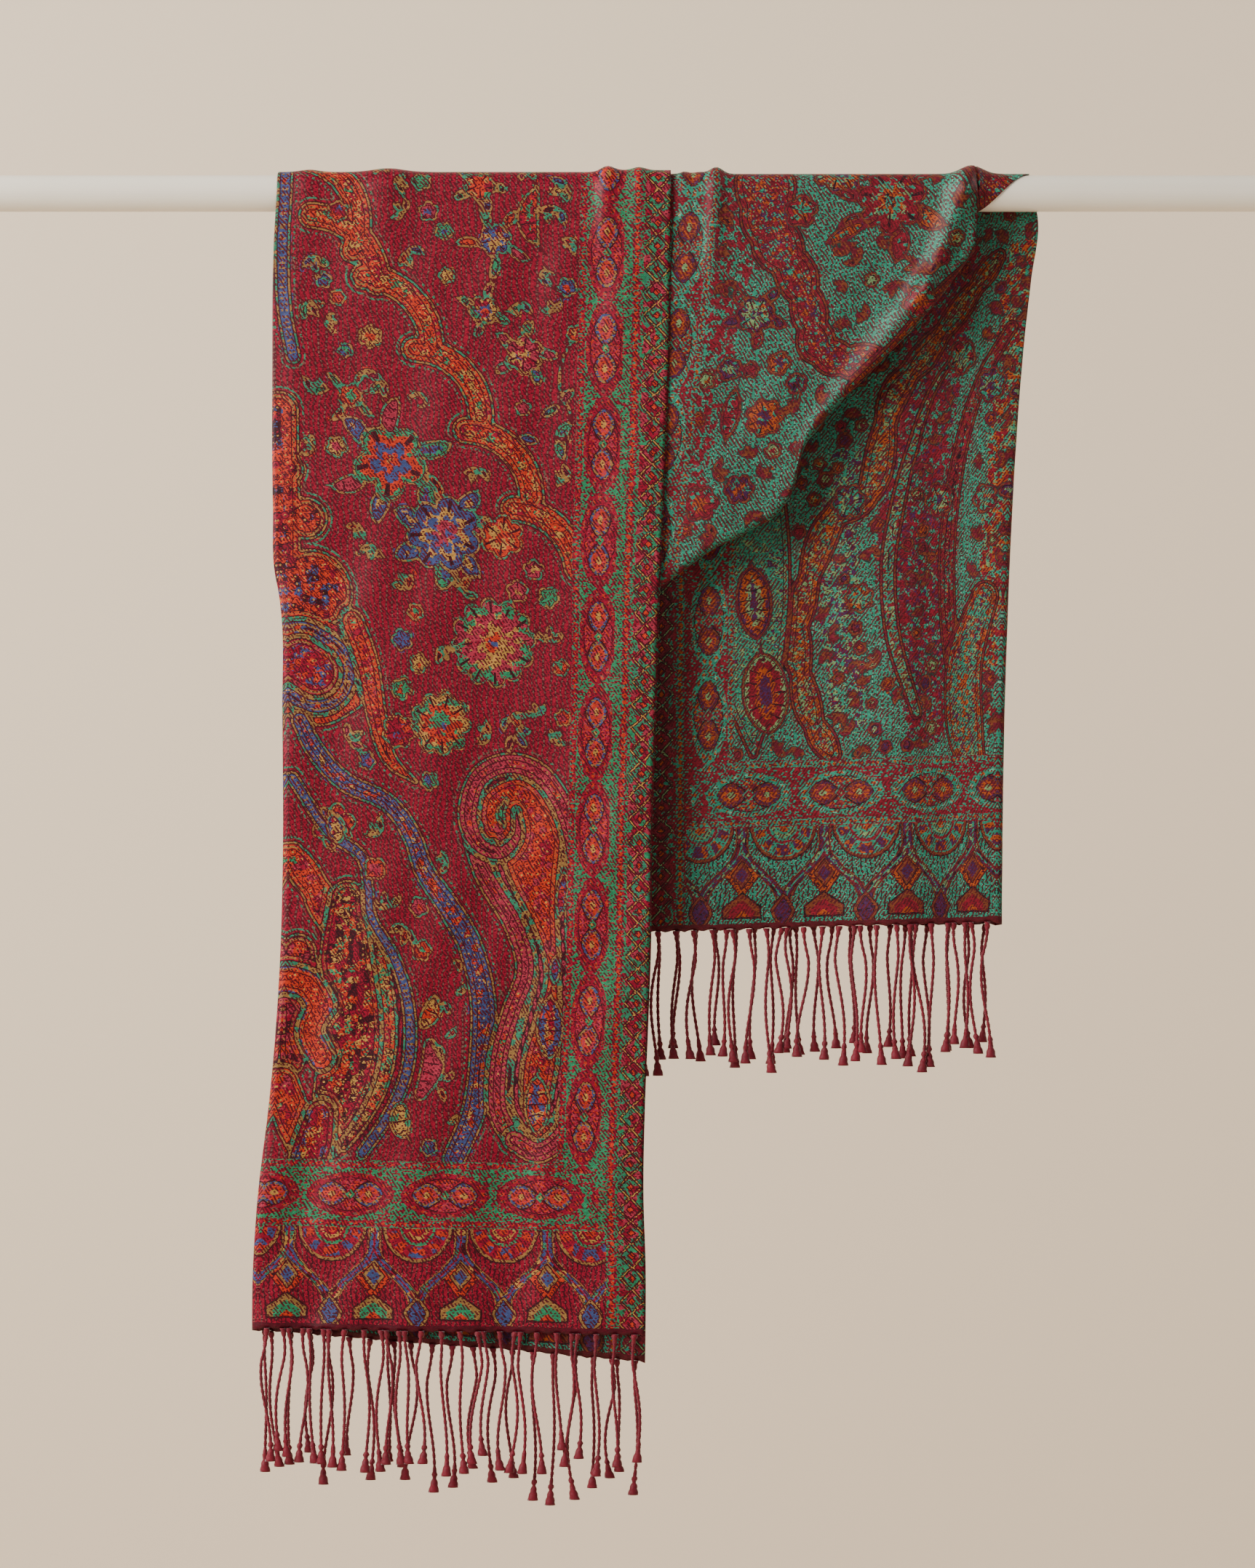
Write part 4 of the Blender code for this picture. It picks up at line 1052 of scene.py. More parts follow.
def make_fringe(fringe):
    sizes = bpy.context.scene.shawl_sizes
    fall = FRONT_FALL if fringe.stretch == "front" else BACK_FALL
    outer = 1.0 if fringe.outer else 0.0

    def hem_place(share):
        ones = np.ones(1)
        hem = fall_hem(fall, outer * ones, share * ones)
        run = (QUARTER_RUN - hem) * fall.side
        points, _ = fall_points(fall, outer * ones, share * ones, -ones, hem, run)
        return points[0]

    folded, selvedge = hem_place(0)[0], hem_place(1)[0]
    left, right = sorted((folded, selvedge))
    draw = random.Random(fringe.seed + 100)
    shape = bmesh.new()
    radius = sizes.strand_thickness / 2 / MM
    for strand in fringe_strands(fringe, left, right):
        top = hem_place((strand.x - folded) / (selvedge - folded))
        wander, phase, twist_phase = draw.uniform(1.2, 4.2), draw.uniform(0, 6.28), draw.uniform(0, 6.28)
        rings = round(strand.length / STRAND_RING_STEP)
        centres, swell, twists = [], [], []
        for ring in range(rings + 1):
            share = ring / rings
            aside = strand.sway * share + strand.bow * math.sin(math.pi * share)
            aside += wander * math.sin(share * 5.5 + phase) * min(1, share * 4) * (1 - 0.3 * share)
            y = top[1] + fringe.lean * STRAND_LEAN * share + 0.8 * math.sin(share * 4 + phase * 2) * share
            centres.append((strand.x + aside, y, top[2] + 1.2 - (strand.length + 2) * share))
            swell.append(
                1
                + 0.9 * math.exp(-((share / 0.05) ** 2))
                + 0.75 * math.exp(-(((share - 0.875) / 0.018) ** 2))
                + 2.1 * max(0, (share - 0.9) / 0.1) ** 0.7
            )
            twists.append(twist_phase + share * strand.length * 2 * math.pi / sizes.twist_pitch * MM)

        def section(side, ring):
            angle = side / STRAND_SIDES * 2 * math.pi
            loose = max(0, (ring / rings - 0.9) / 0.1)
            lobes = 0.66 + 0.34 * abs(math.cos(angle)) ** 1.3
            far = radius * swell[ring] * (lobes + (0.9 - lobes) * loose)
            turned = angle + twists[ring]
            return far * math.cos(turned), far * math.sin(turned) * (1 - 0.35 * loose)

        tube(shape, centres, STRAND_SIDES, section)
    bmesh.ops.remove_doubles(shape, verts=shape.verts, dist=0.00002)
    ends = [edge for edge in shape.edges if edge.is_boundary]
    bmesh.ops.holes_fill(shape, edges=ends, sides=STRAND_SIDES)
    shape.normal_update()
    bmesh.ops.recalc_face_normals(shape, faces=shape.faces)
    mesh = bpy.data.meshes.new(fringe.node + "_silk")
    shape.to_mesh(mesh)
    shape.free()
    mesh.shade_smooth()
    mesh.materials.append(bpy.data.materials["Fringe silk"])
    made = linked_object(fringe.node + "_silk", mesh)
    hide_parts(fringe.node)
    return made


# Materials


class Wire:
    """A number in a node tree. Plain arithmetic with it adds Math nodes."""

    def __init__(self, tree, socket):
        self.tree = tree
        self.socket = socket

    def math(self, operation, *values):
        node = self.tree.nodes.new("ShaderNodeMath")
        node.operation = operation
        for value, slot in zip(values, node.inputs):
            if isinstance(value, Wire):
                self.tree.links.new(value.socket, slot)
            else:
                slot.default_value = value
        return Wire(self.tree, node.outputs[0])

    def __add__(self, other):
        return self.math("ADD", self, other)

    __radd__ = __add__

    def __sub__(self, other):
        return self.math("SUBTRACT", self, other)

    def __rsub__(self, other):
        return self.math("SUBTRACT", other, self)

    def __mul__(self, other):
        return self.math("MULTIPLY", self, other)

    __rmul__ = __mul__

    def __truediv__(self, other):
        return self.math("DIVIDE", self, other)

    def __mod__(self, other):
        return self.math("FLOORED_MODULO", self, other)

    def __pow__(self, other):
        return self.math("POWER", self, other)

    def __lt__(self, other):
        return self.math("LESS_THAN", self, other)

    def __gt__(self, other):
        return self.math("GREATER_THAN", self, other)

    def __abs__(self):
        return self.math("ABSOLUTE", self)

    def floor(self):
        return self.math("FLOOR", self)

    def sine(self):
        return self.math("SINE", self)

    def at_least(self, low):
        return self.math("MAXIMUM", self, low)

    def at_most(self, high):
        return self.math("MINIMUM", self, high)

    def angle_from(self, other):
        return self.math("ARCTAN2", self, other)

    def limited(self):
        return self.at_least(0.0).at_most(1.0)

    def between(self, low, high):
        return (self > low) * (self < high)

    def to_nearest(self, pitch, centre):
        """The distance from the nearest of a row of places."""
        return abs((self - centre + pitch / 2) % pitch - pitch / 2)


def pick(mask, first, second):
    """The second colour where the mask is 1, and the first elsewhere."""
    node = mask.tree.nodes.new("ShaderNodeMix")
    node.data_type = "RGBA"
    mask.tree.links.new(mask.socket, node.inputs["Factor"])
    mask.tree.links.new(first, node.inputs[6])
    mask.tree.links.new(second, node.inputs[7])
    return node.outputs[2]


def picks(base, *layers):
    """Lays colours over a base in turn, each where its mask is 1."""
    for mask, colour in layers:
        base = pick(mask, base, colour)
    return base


def joined_vector(tree, x, y, z=0.0):
    node = tree.nodes.new("ShaderNodeCombineXYZ")
    for value, slot in zip((x, y, z), node.inputs):
        if isinstance(value, Wire):
            tree.links.new(value.socket, slot)
        else:
            slot.default_value = value
    return node.outputs[0]


def split_vector(tree, socket):
    node = tree.nodes.new("ShaderNodeSeparateXYZ")
    tree.links.new(socket, node.inputs[0])
    return [Wire(tree, output) for output in node.outputs]


def noise(tree, vector, scale, detail=1.0):
    node = tree.nodes.new("ShaderNodeTexNoise")
    node.inputs["Scale"].default_value = scale
    node.inputs["Detail"].default_value = detail
    tree.links.new(vector, node.inputs["Vector"])
    return Wire(tree, node.outputs["Fac"])


def random_per_cell(tree, x, y):
    node = tree.nodes.new("ShaderNodeTexWhiteNoise")
    node.noise_dimensions = "2D"
    tree.links.new(joined_vector(tree, x, y), node.inputs["Vector"])
    split = tree.nodes.new("ShaderNodeSeparateColor")
    tree.links.new(node.outputs["Color"], split.inputs[0])
    return [Wire(tree, output) for output in split.outputs[:3]]


def blobs(tree, vector):
    """Small uneven patches, about 1 across: two random values for each, and the distance from its middle."""
    node = tree.nodes.new("ShaderNodeTexVoronoi")
    node.voronoi_dimensions = "2D"
    node.inputs["Scale"].default_value = 1.0
    node.inputs["Randomness"].default_value = 0.75
    tree.links.new(vector, node.inputs["Vector"])
    split = tree.nodes.new("ShaderNodeSeparateColor")
    tree.links.new(node.outputs["Color"], split.inputs[0])
    return Wire(tree, split.outputs[0]), Wire(tree, split.outputs[1]), Wire(tree, node.outputs["Distance"])


# One float of the weave, and where the borders end, from the long edge and from the hem
CELL_WIDTH, CELL_HEIGHT = 1.3, 0.9
LATTICE_ENDS = 17.5
BEADS_END = 26.5
SIDE_BAND_STARTS = 31.0
SIDE_BAND_ENDS = 56.5
SIDE_GUARD_ENDS = 62.0
PLAIN_HEM_ENDS = 5.0
ARCHES_END = 72.5
LOWER_GUARD_ENDS = 78.5
HEM_BAND_ENDS = 113.0
UPPER_GUARD_ENDS = 119.0
ROW_PITCH = 3.9

YARNS = ("Ground", "Second", "Orange", "Blue", "Cream", "Pink", "Dark", "Float", "Edge", "Edge two", "Row")


def oval_colours(across, along, chance, yarn):
    """An oval with a beaded rim, a pointed leaf at each end and a small flower in the middle. across and
    along are 1 at its edge."""
    far = (abs(across) ** 2.0 + abs(along) ** 1.7) ** 0.55
    beads = (across.angle_from(along) * 17.0).sine() > 0.1
    leaf = (abs(across) * 1.5) ** 1.5 + (abs(abs(along) - 0.42) * 2.3) ** 1.5
    middle = abs(across) * 1.1 + abs(along) * 2.2
    return far, picks(
        yarn["Ground"],
        (far.between(0.84, 0.95) * beads * (chance < 0.5), yarn["Orange"]),
        (far.between(0.84, 0.95) * beads * (chance > 0.5), yarn["Float"]),
        (far.between(0.70, 0.76) * (chance < 0.75), yarn["Dark"]),
        ((far < 0.70) * (chance < 0.4), yarn["Pink"]),
        ((far < 0.70) * chance.between(0.4, 0.66), yarn["Orange"]),
        ((leaf < 0.84) * (far < 0.74), yarn["Dark"]),
        ((leaf < 0.7) * (far < 0.74) * (chance < 0.5), yarn["Blue"]),
        ((leaf < 0.7) * (far < 0.74) * (chance > 0.5), yarn["Edge"]),
        (leaf < 0.44, yarn["Pink"]),
        ((leaf < 0.44) * (chance < 0.6), yarn["Orange"]),
        (leaf < 0.1, yarn["Cream"]),
        (middle < 0.34, yarn["Ground"]),
        (middle < 0.26, yarn["Second"]),
        (middle < 0.1, yarn["Cream"]),
    )


def guard_colours(across, along, chance, yarn):
    """A narrow stripe, 6 across, with a line at each side and a row of small dots."""
    dot = (along.to_nearest(4.0, 0.0) + abs(across - 3.0)) < 1.5
    return picks(
        yarn["Ground"],
        (chance < 0.25, yarn["Edge two"]),
        ((abs(across - 3.0) > 2.3) * (chance < 0.85), yarn["Second"]),
        (dot * (chance > 0.35), yarn["Orange"]),
    )


def hem_arch_colours(w, d, chance, blob, yarn):
    """Pointed arches with leaves in them, and half-round rosettes between, above the hem."""
    aside = w.to_nearest(61.0, 68.0)
    between_arches = 30.5 - aside
    up = (d - 4.0) / 68.0
    shoulder = ((0.53 - up) * 1.7).at_most(0.5).at_least(-0.5)
    arch = aside - ((shoulder * math.pi).sine() + 1.0) * 14.5
    chevron = d + aside * 0.7
    heart = aside * 0.95 + abs(d - 39.0) * 0.75
    rosette = (between_arches * between_arches + (d - 73.0) * (d - 73.0)) ** 0.5
    turn = between_arches.angle_from(73.0 - d)
    beads = (turn * 11.0).sine() > -0.2
    base_leaf = between_arches + abs(d - 13.0) ** 1.5 * 0.2
    lines = (((w + (d * 0.16).sine() * 1.2) / 3.4) % 1.0) < 0.3
    inner = picks(
        yarn["Ground"],
        (lines, yarn["Dark"]),
        (lines * (chance < 0.3), yarn["Float"]),
        (heart < 13.0, yarn["Dark"]),
        ((heart < 12.0) * (chance < 0.85), yarn["Orange"]),
        (heart < 8.0, yarn["Dark"]),
        (heart < 7.0, yarn["Edge"]),
        (heart < 4.5, yarn["Blue"]),
        ((chevron < 27.0) * (aside < 15.0) * (d > 8.0), yarn["Dark"]),
        ((chevron < 25.5) * (aside < 13.5) * (d > 9.5), yarn["Edge"]),
        ((chevron < 21.0) * (aside < 9.5) * (d > 9.5), yarn["Second"]),
        ((chevron < 14.0) * (aside < 5.0) * (d > 9.5), yarn["Orange"]),
    )
    return picks(
        inner,
        (abs(arch) < 4.6, yarn["Edge"]),
        (abs(arch) < 3.6, yarn["Dark"]),
        ((abs(arch) < 3.0) * (blob < 0.5), yarn["Blue"]),
        ((abs(arch) < 3.0) * blob.between(0.5, 0.7), yarn["Edge two"]),
        ((abs(arch) < 3.0) * (blob > 0.8), yarn["Cream"]),
        (abs(arch) < 0.7, yarn["Ground"]),
        (rosette < 25.0, yarn["Dark"]),
        (rosette < 24.0, yarn["Edge"]),
        (rosette < 22.0, yarn["Ground"]),
        (rosette.between(13.5, 21.0) * beads * (blob < 0.5), yarn["Orange"]),
        (rosette.between(13.5, 21.0) * beads * (blob > 0.5), yarn["Blue"]),
        (rosette.between(10.5, 12.5) * (chance < 0.85), yarn["Second"]),
        (rosette.between(6.0, 8.5) * (chance < 0.8), yarn["Cream"]),
        ((rosette < 4.5) * (chance < 0.85), yarn["Orange"]),
        ((base_leaf < 9.4) * (d < 28.0), yarn["Dark"]),
        ((base_leaf < 8.4) * (d < 26.0), yarn["Edge"]),
        ((base_leaf < 6.4) * (d < 26.0), yarn["Dark"]),
        ((base_leaf < 5.6) * (d < 26.0) * (chance < 0.9), yarn["Blue"]),
    )


def shape_lines(inside, along, chance, yarn, colour):
    """The fine lines and beads that run inside a shape's edge."""
    return picks(
        colour,
        (inside < 1.6, yarn["Edge"]),
        ((inside < 1.6) * (chance > 0.6), yarn["Edge two"]),
        (inside.between(1.6, 2.3), yarn["Dark"]),
        (inside.between(3.2, 4.6) * ((along % 4.2) < 1.5), yarn["Edge"]),
        (inside.between(5.1, 5.8), yarn["Dark"]),
        (inside < 0.3, yarn["Dark"]),
    )


def field_colours(tree, chance, blob, yarn, main_yarns, other_yarns, shapes, floats):
    """The ground with its wavy rows of floats, and the shapes laid over it."""
    blob_chance, edge_chance, blob_far = blob
    green, orange, blue = split_vector(tree, main_yarns)
    cream, pink, dark = split_vector(tree, other_yarns)
    large, small, along = split_vector(tree, shapes)
    rows, beads = floats
    open_ground = (large < -0.8) * (small < -0.8)
    colour = picks(
        yarn["Ground"],
        (rows * open_ground, yarn["Row"]),
        (beads * open_ground, yarn["Float"]),
    )
    mixed = blob_chance * 0.85 + chance * 0.15
    total = green
    colour = picks(colour, (mixed < total, yarn["Second"]))
    for share, name in ((orange, "Orange"), (blue, "Blue"), (cream, "Cream"), (pink, "Pink"), (dark, "Dark")):
        low, total = total, total + share
        colour = pick((mixed > low) * (mixed < total), colour, yarn[name])
    colour = picks(
        colour,
        ((large > 6.0) * (small < 0.0) * blob_far.between(0.5, 0.6) * (edge_chance < 0.7), yarn["Dark"]),
        ((large > 5.0) * (small < 0.0) * (blob_far < 0.17) * (edge_chance > 0.4), yarn["Cream"]),
    )
    in_large = (large > -0.5) * (small < 0.0)
    colour = pick(in_large, colour, shape_lines(large, along, edge_chance, yarn, colour))
    vein = small.between(2.6, 11.0) * ((along % VEIN_PITCH) < 0.9)
    return picks(
        colour,
        (large.between(-3.4, -2.0) * ((along % 4.4) < 1.7) * (small < -2.0), yarn["Edge two"]),
        (vein, yarn["Dark"]),
        (small.between(0.0, 1.4) * (edge_chance < 0.6), yarn["Edge"]),
        (small.between(0.0, 1.4) * (edge_chance > 0.6), yarn["Edge two"]),
        (small.between(1.6, 2.2), yarn["Dark"]),
        (small.between(-0.7, 0.0), yarn["Row"]),
    )


def weave_group():
    """The woven cloth's colour and height, from the place on the flat cloth and the field's yarns. The colour
    has shade painted into the gaps between the yarns.
    """
    tree = bpy.data.node_groups.new("Woven pattern", "ShaderNodeTree")
    for name in YARNS:
        tree.interface.new_socket(name, in_out="INPUT", socket_type="NodeSocketColor")
    for name in ("Place", "Main yarns", "Other yarns", "Shapes"):
        tree.interface.new_socket(name, in_out="INPUT", socket_type="NodeSocketVector")
    for name in ("Under share", "Patch size"):
        tree.interface.new_socket(name, in_out="INPUT", socket_type="NodeSocketFloat")
    tree.interface.new_socket("Under", in_out="INPUT", socket_type="NodeSocketColor")
    tree.interface.new_socket("Color", in_out="OUTPUT", socket_type="NodeSocketColor")
    tree.interface.new_socket("Height", in_out="OUTPUT", socket_type="NodeSocketFloat")
    start = tree.nodes.new("NodeGroupInput")
    end = tree.nodes.new("NodeGroupOutput")
    yarn = {name: start.outputs[name] for name in YARNS}
    place = start.outputs["Place"]
    w, d, _ = split_vector(tree, place)
    large, small, _ = split_vector(tree, start.outputs["Shapes"])
    slow = noise(tree, place, 0.016, 0.0) - 0.5
    waver = noise(tree, place, 0.11, 0.0) - 0.5
    row = (d / CELL_HEIGHT).floor()
    cells = (w + waver * 3.0) / CELL_WIDTH + row * 0.5
    column = cells.floor()
    chances = random_per_cell(tree, column, row)
    jitter = (chances[2] - 0.5) * 0.7
    w_seen, d_seen = w + jitter + waver * 1.2, d + jitter * 0.8 + waver * 1.2
    near = large.at_least(small).at_least(-14.0)
    wavy = w + slow * 9.0 + (d * 0.21 + slow * 40.0).sine() * 0.55 + near * 0.22
    in_row = (wavy / ROW_PITCH) % 1.0
    rows = in_row < 0.36
    floats = in_row.between(0.06, 0.3) * (((d / 3.1 + (wavy / ROW_PITCH).floor() * 0.5) % 1.0) < 0.6)
    chance = chances[0]
    patch_size = Wire(tree, start.outputs["Patch size"])
    blob = blobs(tree, joined_vector(tree, (w + waver * 3.0) / patch_size, (d + slow * 6.0) / patch_size))
    field = field_colours(
        tree, chance, blob, yarn,
        start.outputs["Main yarns"], start.outputs["Other yarns"], start.outputs["Shapes"], (rows, floats),
    )
    side_far, side_oval = oval_colours(
        (w_seen - 43.0) / 14.0, d_seen.to_nearest(67.0, 152.0) / 33.5, chance, yarn
    )
    side_band = picks(yarn["Second"], (chance > 0.72, yarn["Ground"]), (side_far < 1.0, side_oval))
    hem_far, hem_oval = oval_colours(
        (d_seen - 95.5) / 15.5, w_seen.to_nearest(68.0, 73.0) / 31.5, chance, yarn
    )
    hem_band = picks(yarn["Second"], (chance > 0.72, yarn["Ground"]), (hem_far < 1.0, hem_oval))
    side_guard = guard_colours(w_seen - SIDE_BAND_ENDS, d_seen, chance, yarn)
    upper_guard = guard_colours(d_seen - HEM_BAND_ENDS, w_seen, chance, yarn)
    lower_guard = guard_colours(d_seen - ARCHES_END, w_seen, chance, yarn)
    diamond = d_seen.to_nearest(16.0, 8.0) + abs(w_seen - 8.5)
    patch = blob[0]
    lattice = picks(
        yarn["Ground"],
        (patch < 0.3, yarn["Edge two"]),
        (patch.between(0.3, 0.5), yarn["Second"]),
        (patch.between(0.5, 0.8), yarn["Pink"]),
        (diamond.between(2.0, 3.2), yarn["Dark"]),
        (diamond < 2.0, yarn["Orange"]),
        (diamond.between(6.6, 7.8), yarn["Dark"]),
        (diamond.between(7.8, 9.0) * (chance < 0.75), yarn["Cream"]),
        (diamond.between(9.0, 10.0), yarn["Dark"]),
    )
    bead = ((w_seen - 22.5) * (w_seen - 22.5) + d_seen.to_nearest(4.6, 0.0) ** 2.0) < 2.6
    bead_row = picks(
        yarn["Ground"],
        (chance < 0.4, yarn["Edge two"]),
        ((abs(abs(w_seen - 22.3) - 3.9) < 0.9) * (chance < 0.8), yarn["Second"]),
        (bead, yarn["Orange"]),
    )
    stitches = ((d_seen % 2.2) < 1.5) * (chance < 0.85)
    colour = picks(
        field,
        (w_seen < SIDE_GUARD_ENDS, side_guard),
        (w_seen < SIDE_BAND_ENDS, side_band),
        ((d_seen < UPPER_GUARD_ENDS) * (w_seen > SIDE_BAND_ENDS), upper_guard),
        (d_seen < HEM_BAND_ENDS, hem_band),
        (d_seen < LOWER_GUARD_ENDS, lower_guard),
        (d_seen < ARCHES_END, hem_arch_colours(w_seen, d_seen, chance, patch, yarn)),
        ((w_seen < SIDE_BAND_STARTS) * (d_seen > ARCHES_END - 0.5) * stitches, yarn["Second"]),
        (w_seen < BEADS_END, bead_row),
        (w_seen < LATTICE_ENDS, lattice),
        (d_seen < PLAIN_HEM_ENDS, start.outputs["Under"]),
    )
    twill = (column + row) % 2.0 < 1.0
    under = (chances[1] * 0.45 + twill * 0.55) < Wire(tree, start.outputs["Under share"])
    colour = pick(under, colour, start.outputs["Under"])
    # Painted shade: the gaps along each cell's side and between the rows are drawn darker, as shade that
    # falls between the yarns
    yarn_gap_shade = (cells % 1.0 < 0.16).at_least((d / CELL_HEIGHT) % 1.0 < 0.2)
    pair = CELL_WIDTH * 2
    grain = random_per_cell(
        tree, ((w + waver * 3.0) / pair).floor(), (d / 1.7 + (w / pair).floor() * 0.5).floor()
    )
    # Each cell's colour is scaled by tone that differs at random from cell to cell and from pair to pair, and
    # darkened by the painted shade in the gaps
    grain_and_gap_shade = (chances[2] * 0.4 + 0.8) * (1.0 - yarn_gap_shade * 0.4) * (grain[0] * 0.4 + 0.8)
    tone = tree.nodes.new("ShaderNodeVectorMath")
    tone.operation = "SCALE"
    tree.links.new(colour, tone.inputs[0])
    tree.links.new(grain_and_gap_shade.socket, tone.inputs["Scale"])
    tree.links.new(tone.outputs[0], end.inputs["Color"])
    height = chances[1] * 0.45 + floats * 0.35 + waver * 0.9
    tree.links.new(height.socket, end.inputs["Height"])
    return tree


def linear(red, green, blue):
    """A colour as it looks on a screen, from 0 to 255, as the shader takes it."""
    parts = []
    for value in (red, green, blue):
        value /= 255
        parts.append(value / 12.92 if value <= 0.04045 else ((value + 0.055) / 1.055) ** 2.4)
    return (*parts, 1.0)


def principled(material, **values):
    shader = material.node_tree.nodes["Principled BSDF"]
    for name, value in values.items():
        shader.inputs[name.replace("_", " ")].default_value = value
    return shader


def new_material(name, **values):
    """A material with the shader's own sockets set, its tree and its shader."""
    material = bpy.data.materials.new(name)
    material.use_nodes = True
    return material, material.node_tree, principled(material, **values)


def add_bump(tree, shader, height, strength, distance):
    bump = tree.nodes.new("ShaderNodeBump")
    bump.inputs["Strength"].default_value = strength
    bump.inputs["Distance"].default_value = distance
    tree.links.new(height, bump.inputs["Height"])
    tree.links.new(bump.outputs["Normal"], shader.inputs["Normal"])


def blend_colours(tree, shader, share, first, second):
    mix = tree.nodes.new("ShaderNodeMix")
    mix.data_type = "RGBA"
    tree.links.new(share.limited().socket, mix.inputs["Factor"])
    mix.inputs[6].default_value = first
    mix.inputs[7].default_value = second
    tree.links.new(mix.outputs[2], shader.inputs["Base Color"])


def silk_material(face, under_share, patch_size, group):
    colours = bpy.context.scene.shawl_colours
    finish = {"Roughness": 0.48, "Specular_IOR_Level": 0.22, "Sheen_Weight": 0.05, "Sheen_Roughness": 0.4}
    _, tree, shader = new_material(f"Silk, {face} face", **finish)
    weave = tree.nodes.new("ShaderNodeGroup")
    weave.node_tree = group
    for yarn in (*YARNS, "Under"):
        weave.inputs[yarn].default_value = getattr(colours, f"{face}_{yarn.lower().replace(' ', '_')}")
    weave.inputs["Under share"].default_value = under_share
    weave.inputs["Patch size"].default_value = patch_size
    place = tree.nodes.new("ShaderNodeUVMap")
    place.uv_map = "Cloth"
    tree.links.new(place.outputs[0], weave.inputs["Place"])
    for attribute, slot in (
        ("main_yarns", "Main yarns"), ("other_yarns", "Other yarns"), ("shapes", "Shapes")
    ):
        read = tree.nodes.new("ShaderNodeAttribute")
        read.attribute_name = attribute
        tree.links.new(read.outputs["Vector"], weave.inputs[slot])
    tree.links.new(weave.outputs["Color"], shader.inputs["Base Color"])
    add_bump(tree, shader, weave.outputs["Height"], 0.5, 0.4 * MM)


def fringe_material():
    colours = bpy.context.scene.shawl_colours
    finish = {"Roughness": 0.6, "Specular_IOR_Level": 0.3, "Sheen_Weight": 0.3, "Sheen_Roughness": 0.4}
    _, tree, shader = new_material("Fringe silk", **finish)
    place = tree.nodes.new("ShaderNodeTexCoord").outputs["Object"]
    fine, broad = noise(tree, place, 900.0, 2.0), noise(tree, place, 60.0, 1.0)
    blend_colours(tree, shader, fine * 0.6 + broad * 0.6 - 0.1, colours.fringe_dark, colours.fringe_light)
    add_bump(tree, shader, fine.socket, 0.4, 0.3 * MM)


def rail_material():
    colours = bpy.context.scene.shawl_colours
    finish = {"Roughness": 0.3, "Specular_IOR_Level": 0.5, "Coat_Weight": 0.25, "Coat_Roughness": 0.12}
    _, tree, shader = new_material("Rail paint", **finish)
    place = tree.nodes.new("ShaderNodeTexCoord").outputs["Object"]
    broad, fine = noise(tree, place, 18.0, 2.0), noise(tree, place, 260.0, 2.0)
    blend_colours(tree, shader, broad * 0.8, colours.rail_light, colours.rail_dark)
    add_bump(tree, shader, (broad * 0.5 + fine * 0.25).socket, 0.15, 0.3 * MM)


def length(name, description, default, low, high):
    return bpy.props.FloatProperty(
        name=name, description=description, default=default, min=low, max=high, unit="LENGTH"
    )


def colour(name, description, red, green, blue):
    return bpy.props.FloatVectorProperty(
        name=name, description=description, subtype="COLOR",
        default=linear(red, green, blue), size=4, min=0, max=1,
    )


def silk_colour(face, yarn, use, red, green, blue):
    name = f"{face.capitalize()} face, {yarn}"
    return colour(name, f"Yarn for {use}, on the {face} face", red, green, blue)


class ShawlSizes(bpy.types.PropertyGroup):
    """Sizes that a user may change"""

    cloth_thickness: length("Cloth thickness", "Thickness of one layer of silk", 0.0004, 0.0001, 0.001)
    grid_step: length("Grid step", "Distance between the cloth's points", 0.0024, 0.002, 0.01)
    strand_thickness: length("Strand thickness", "Thickness of a twisted fringe strand", 0.0028, 0.001, 0.004)
    twist_pitch: length("Twist pitch", "Length of one turn of a strand's twist", 0.009, 0.003, 0.03)


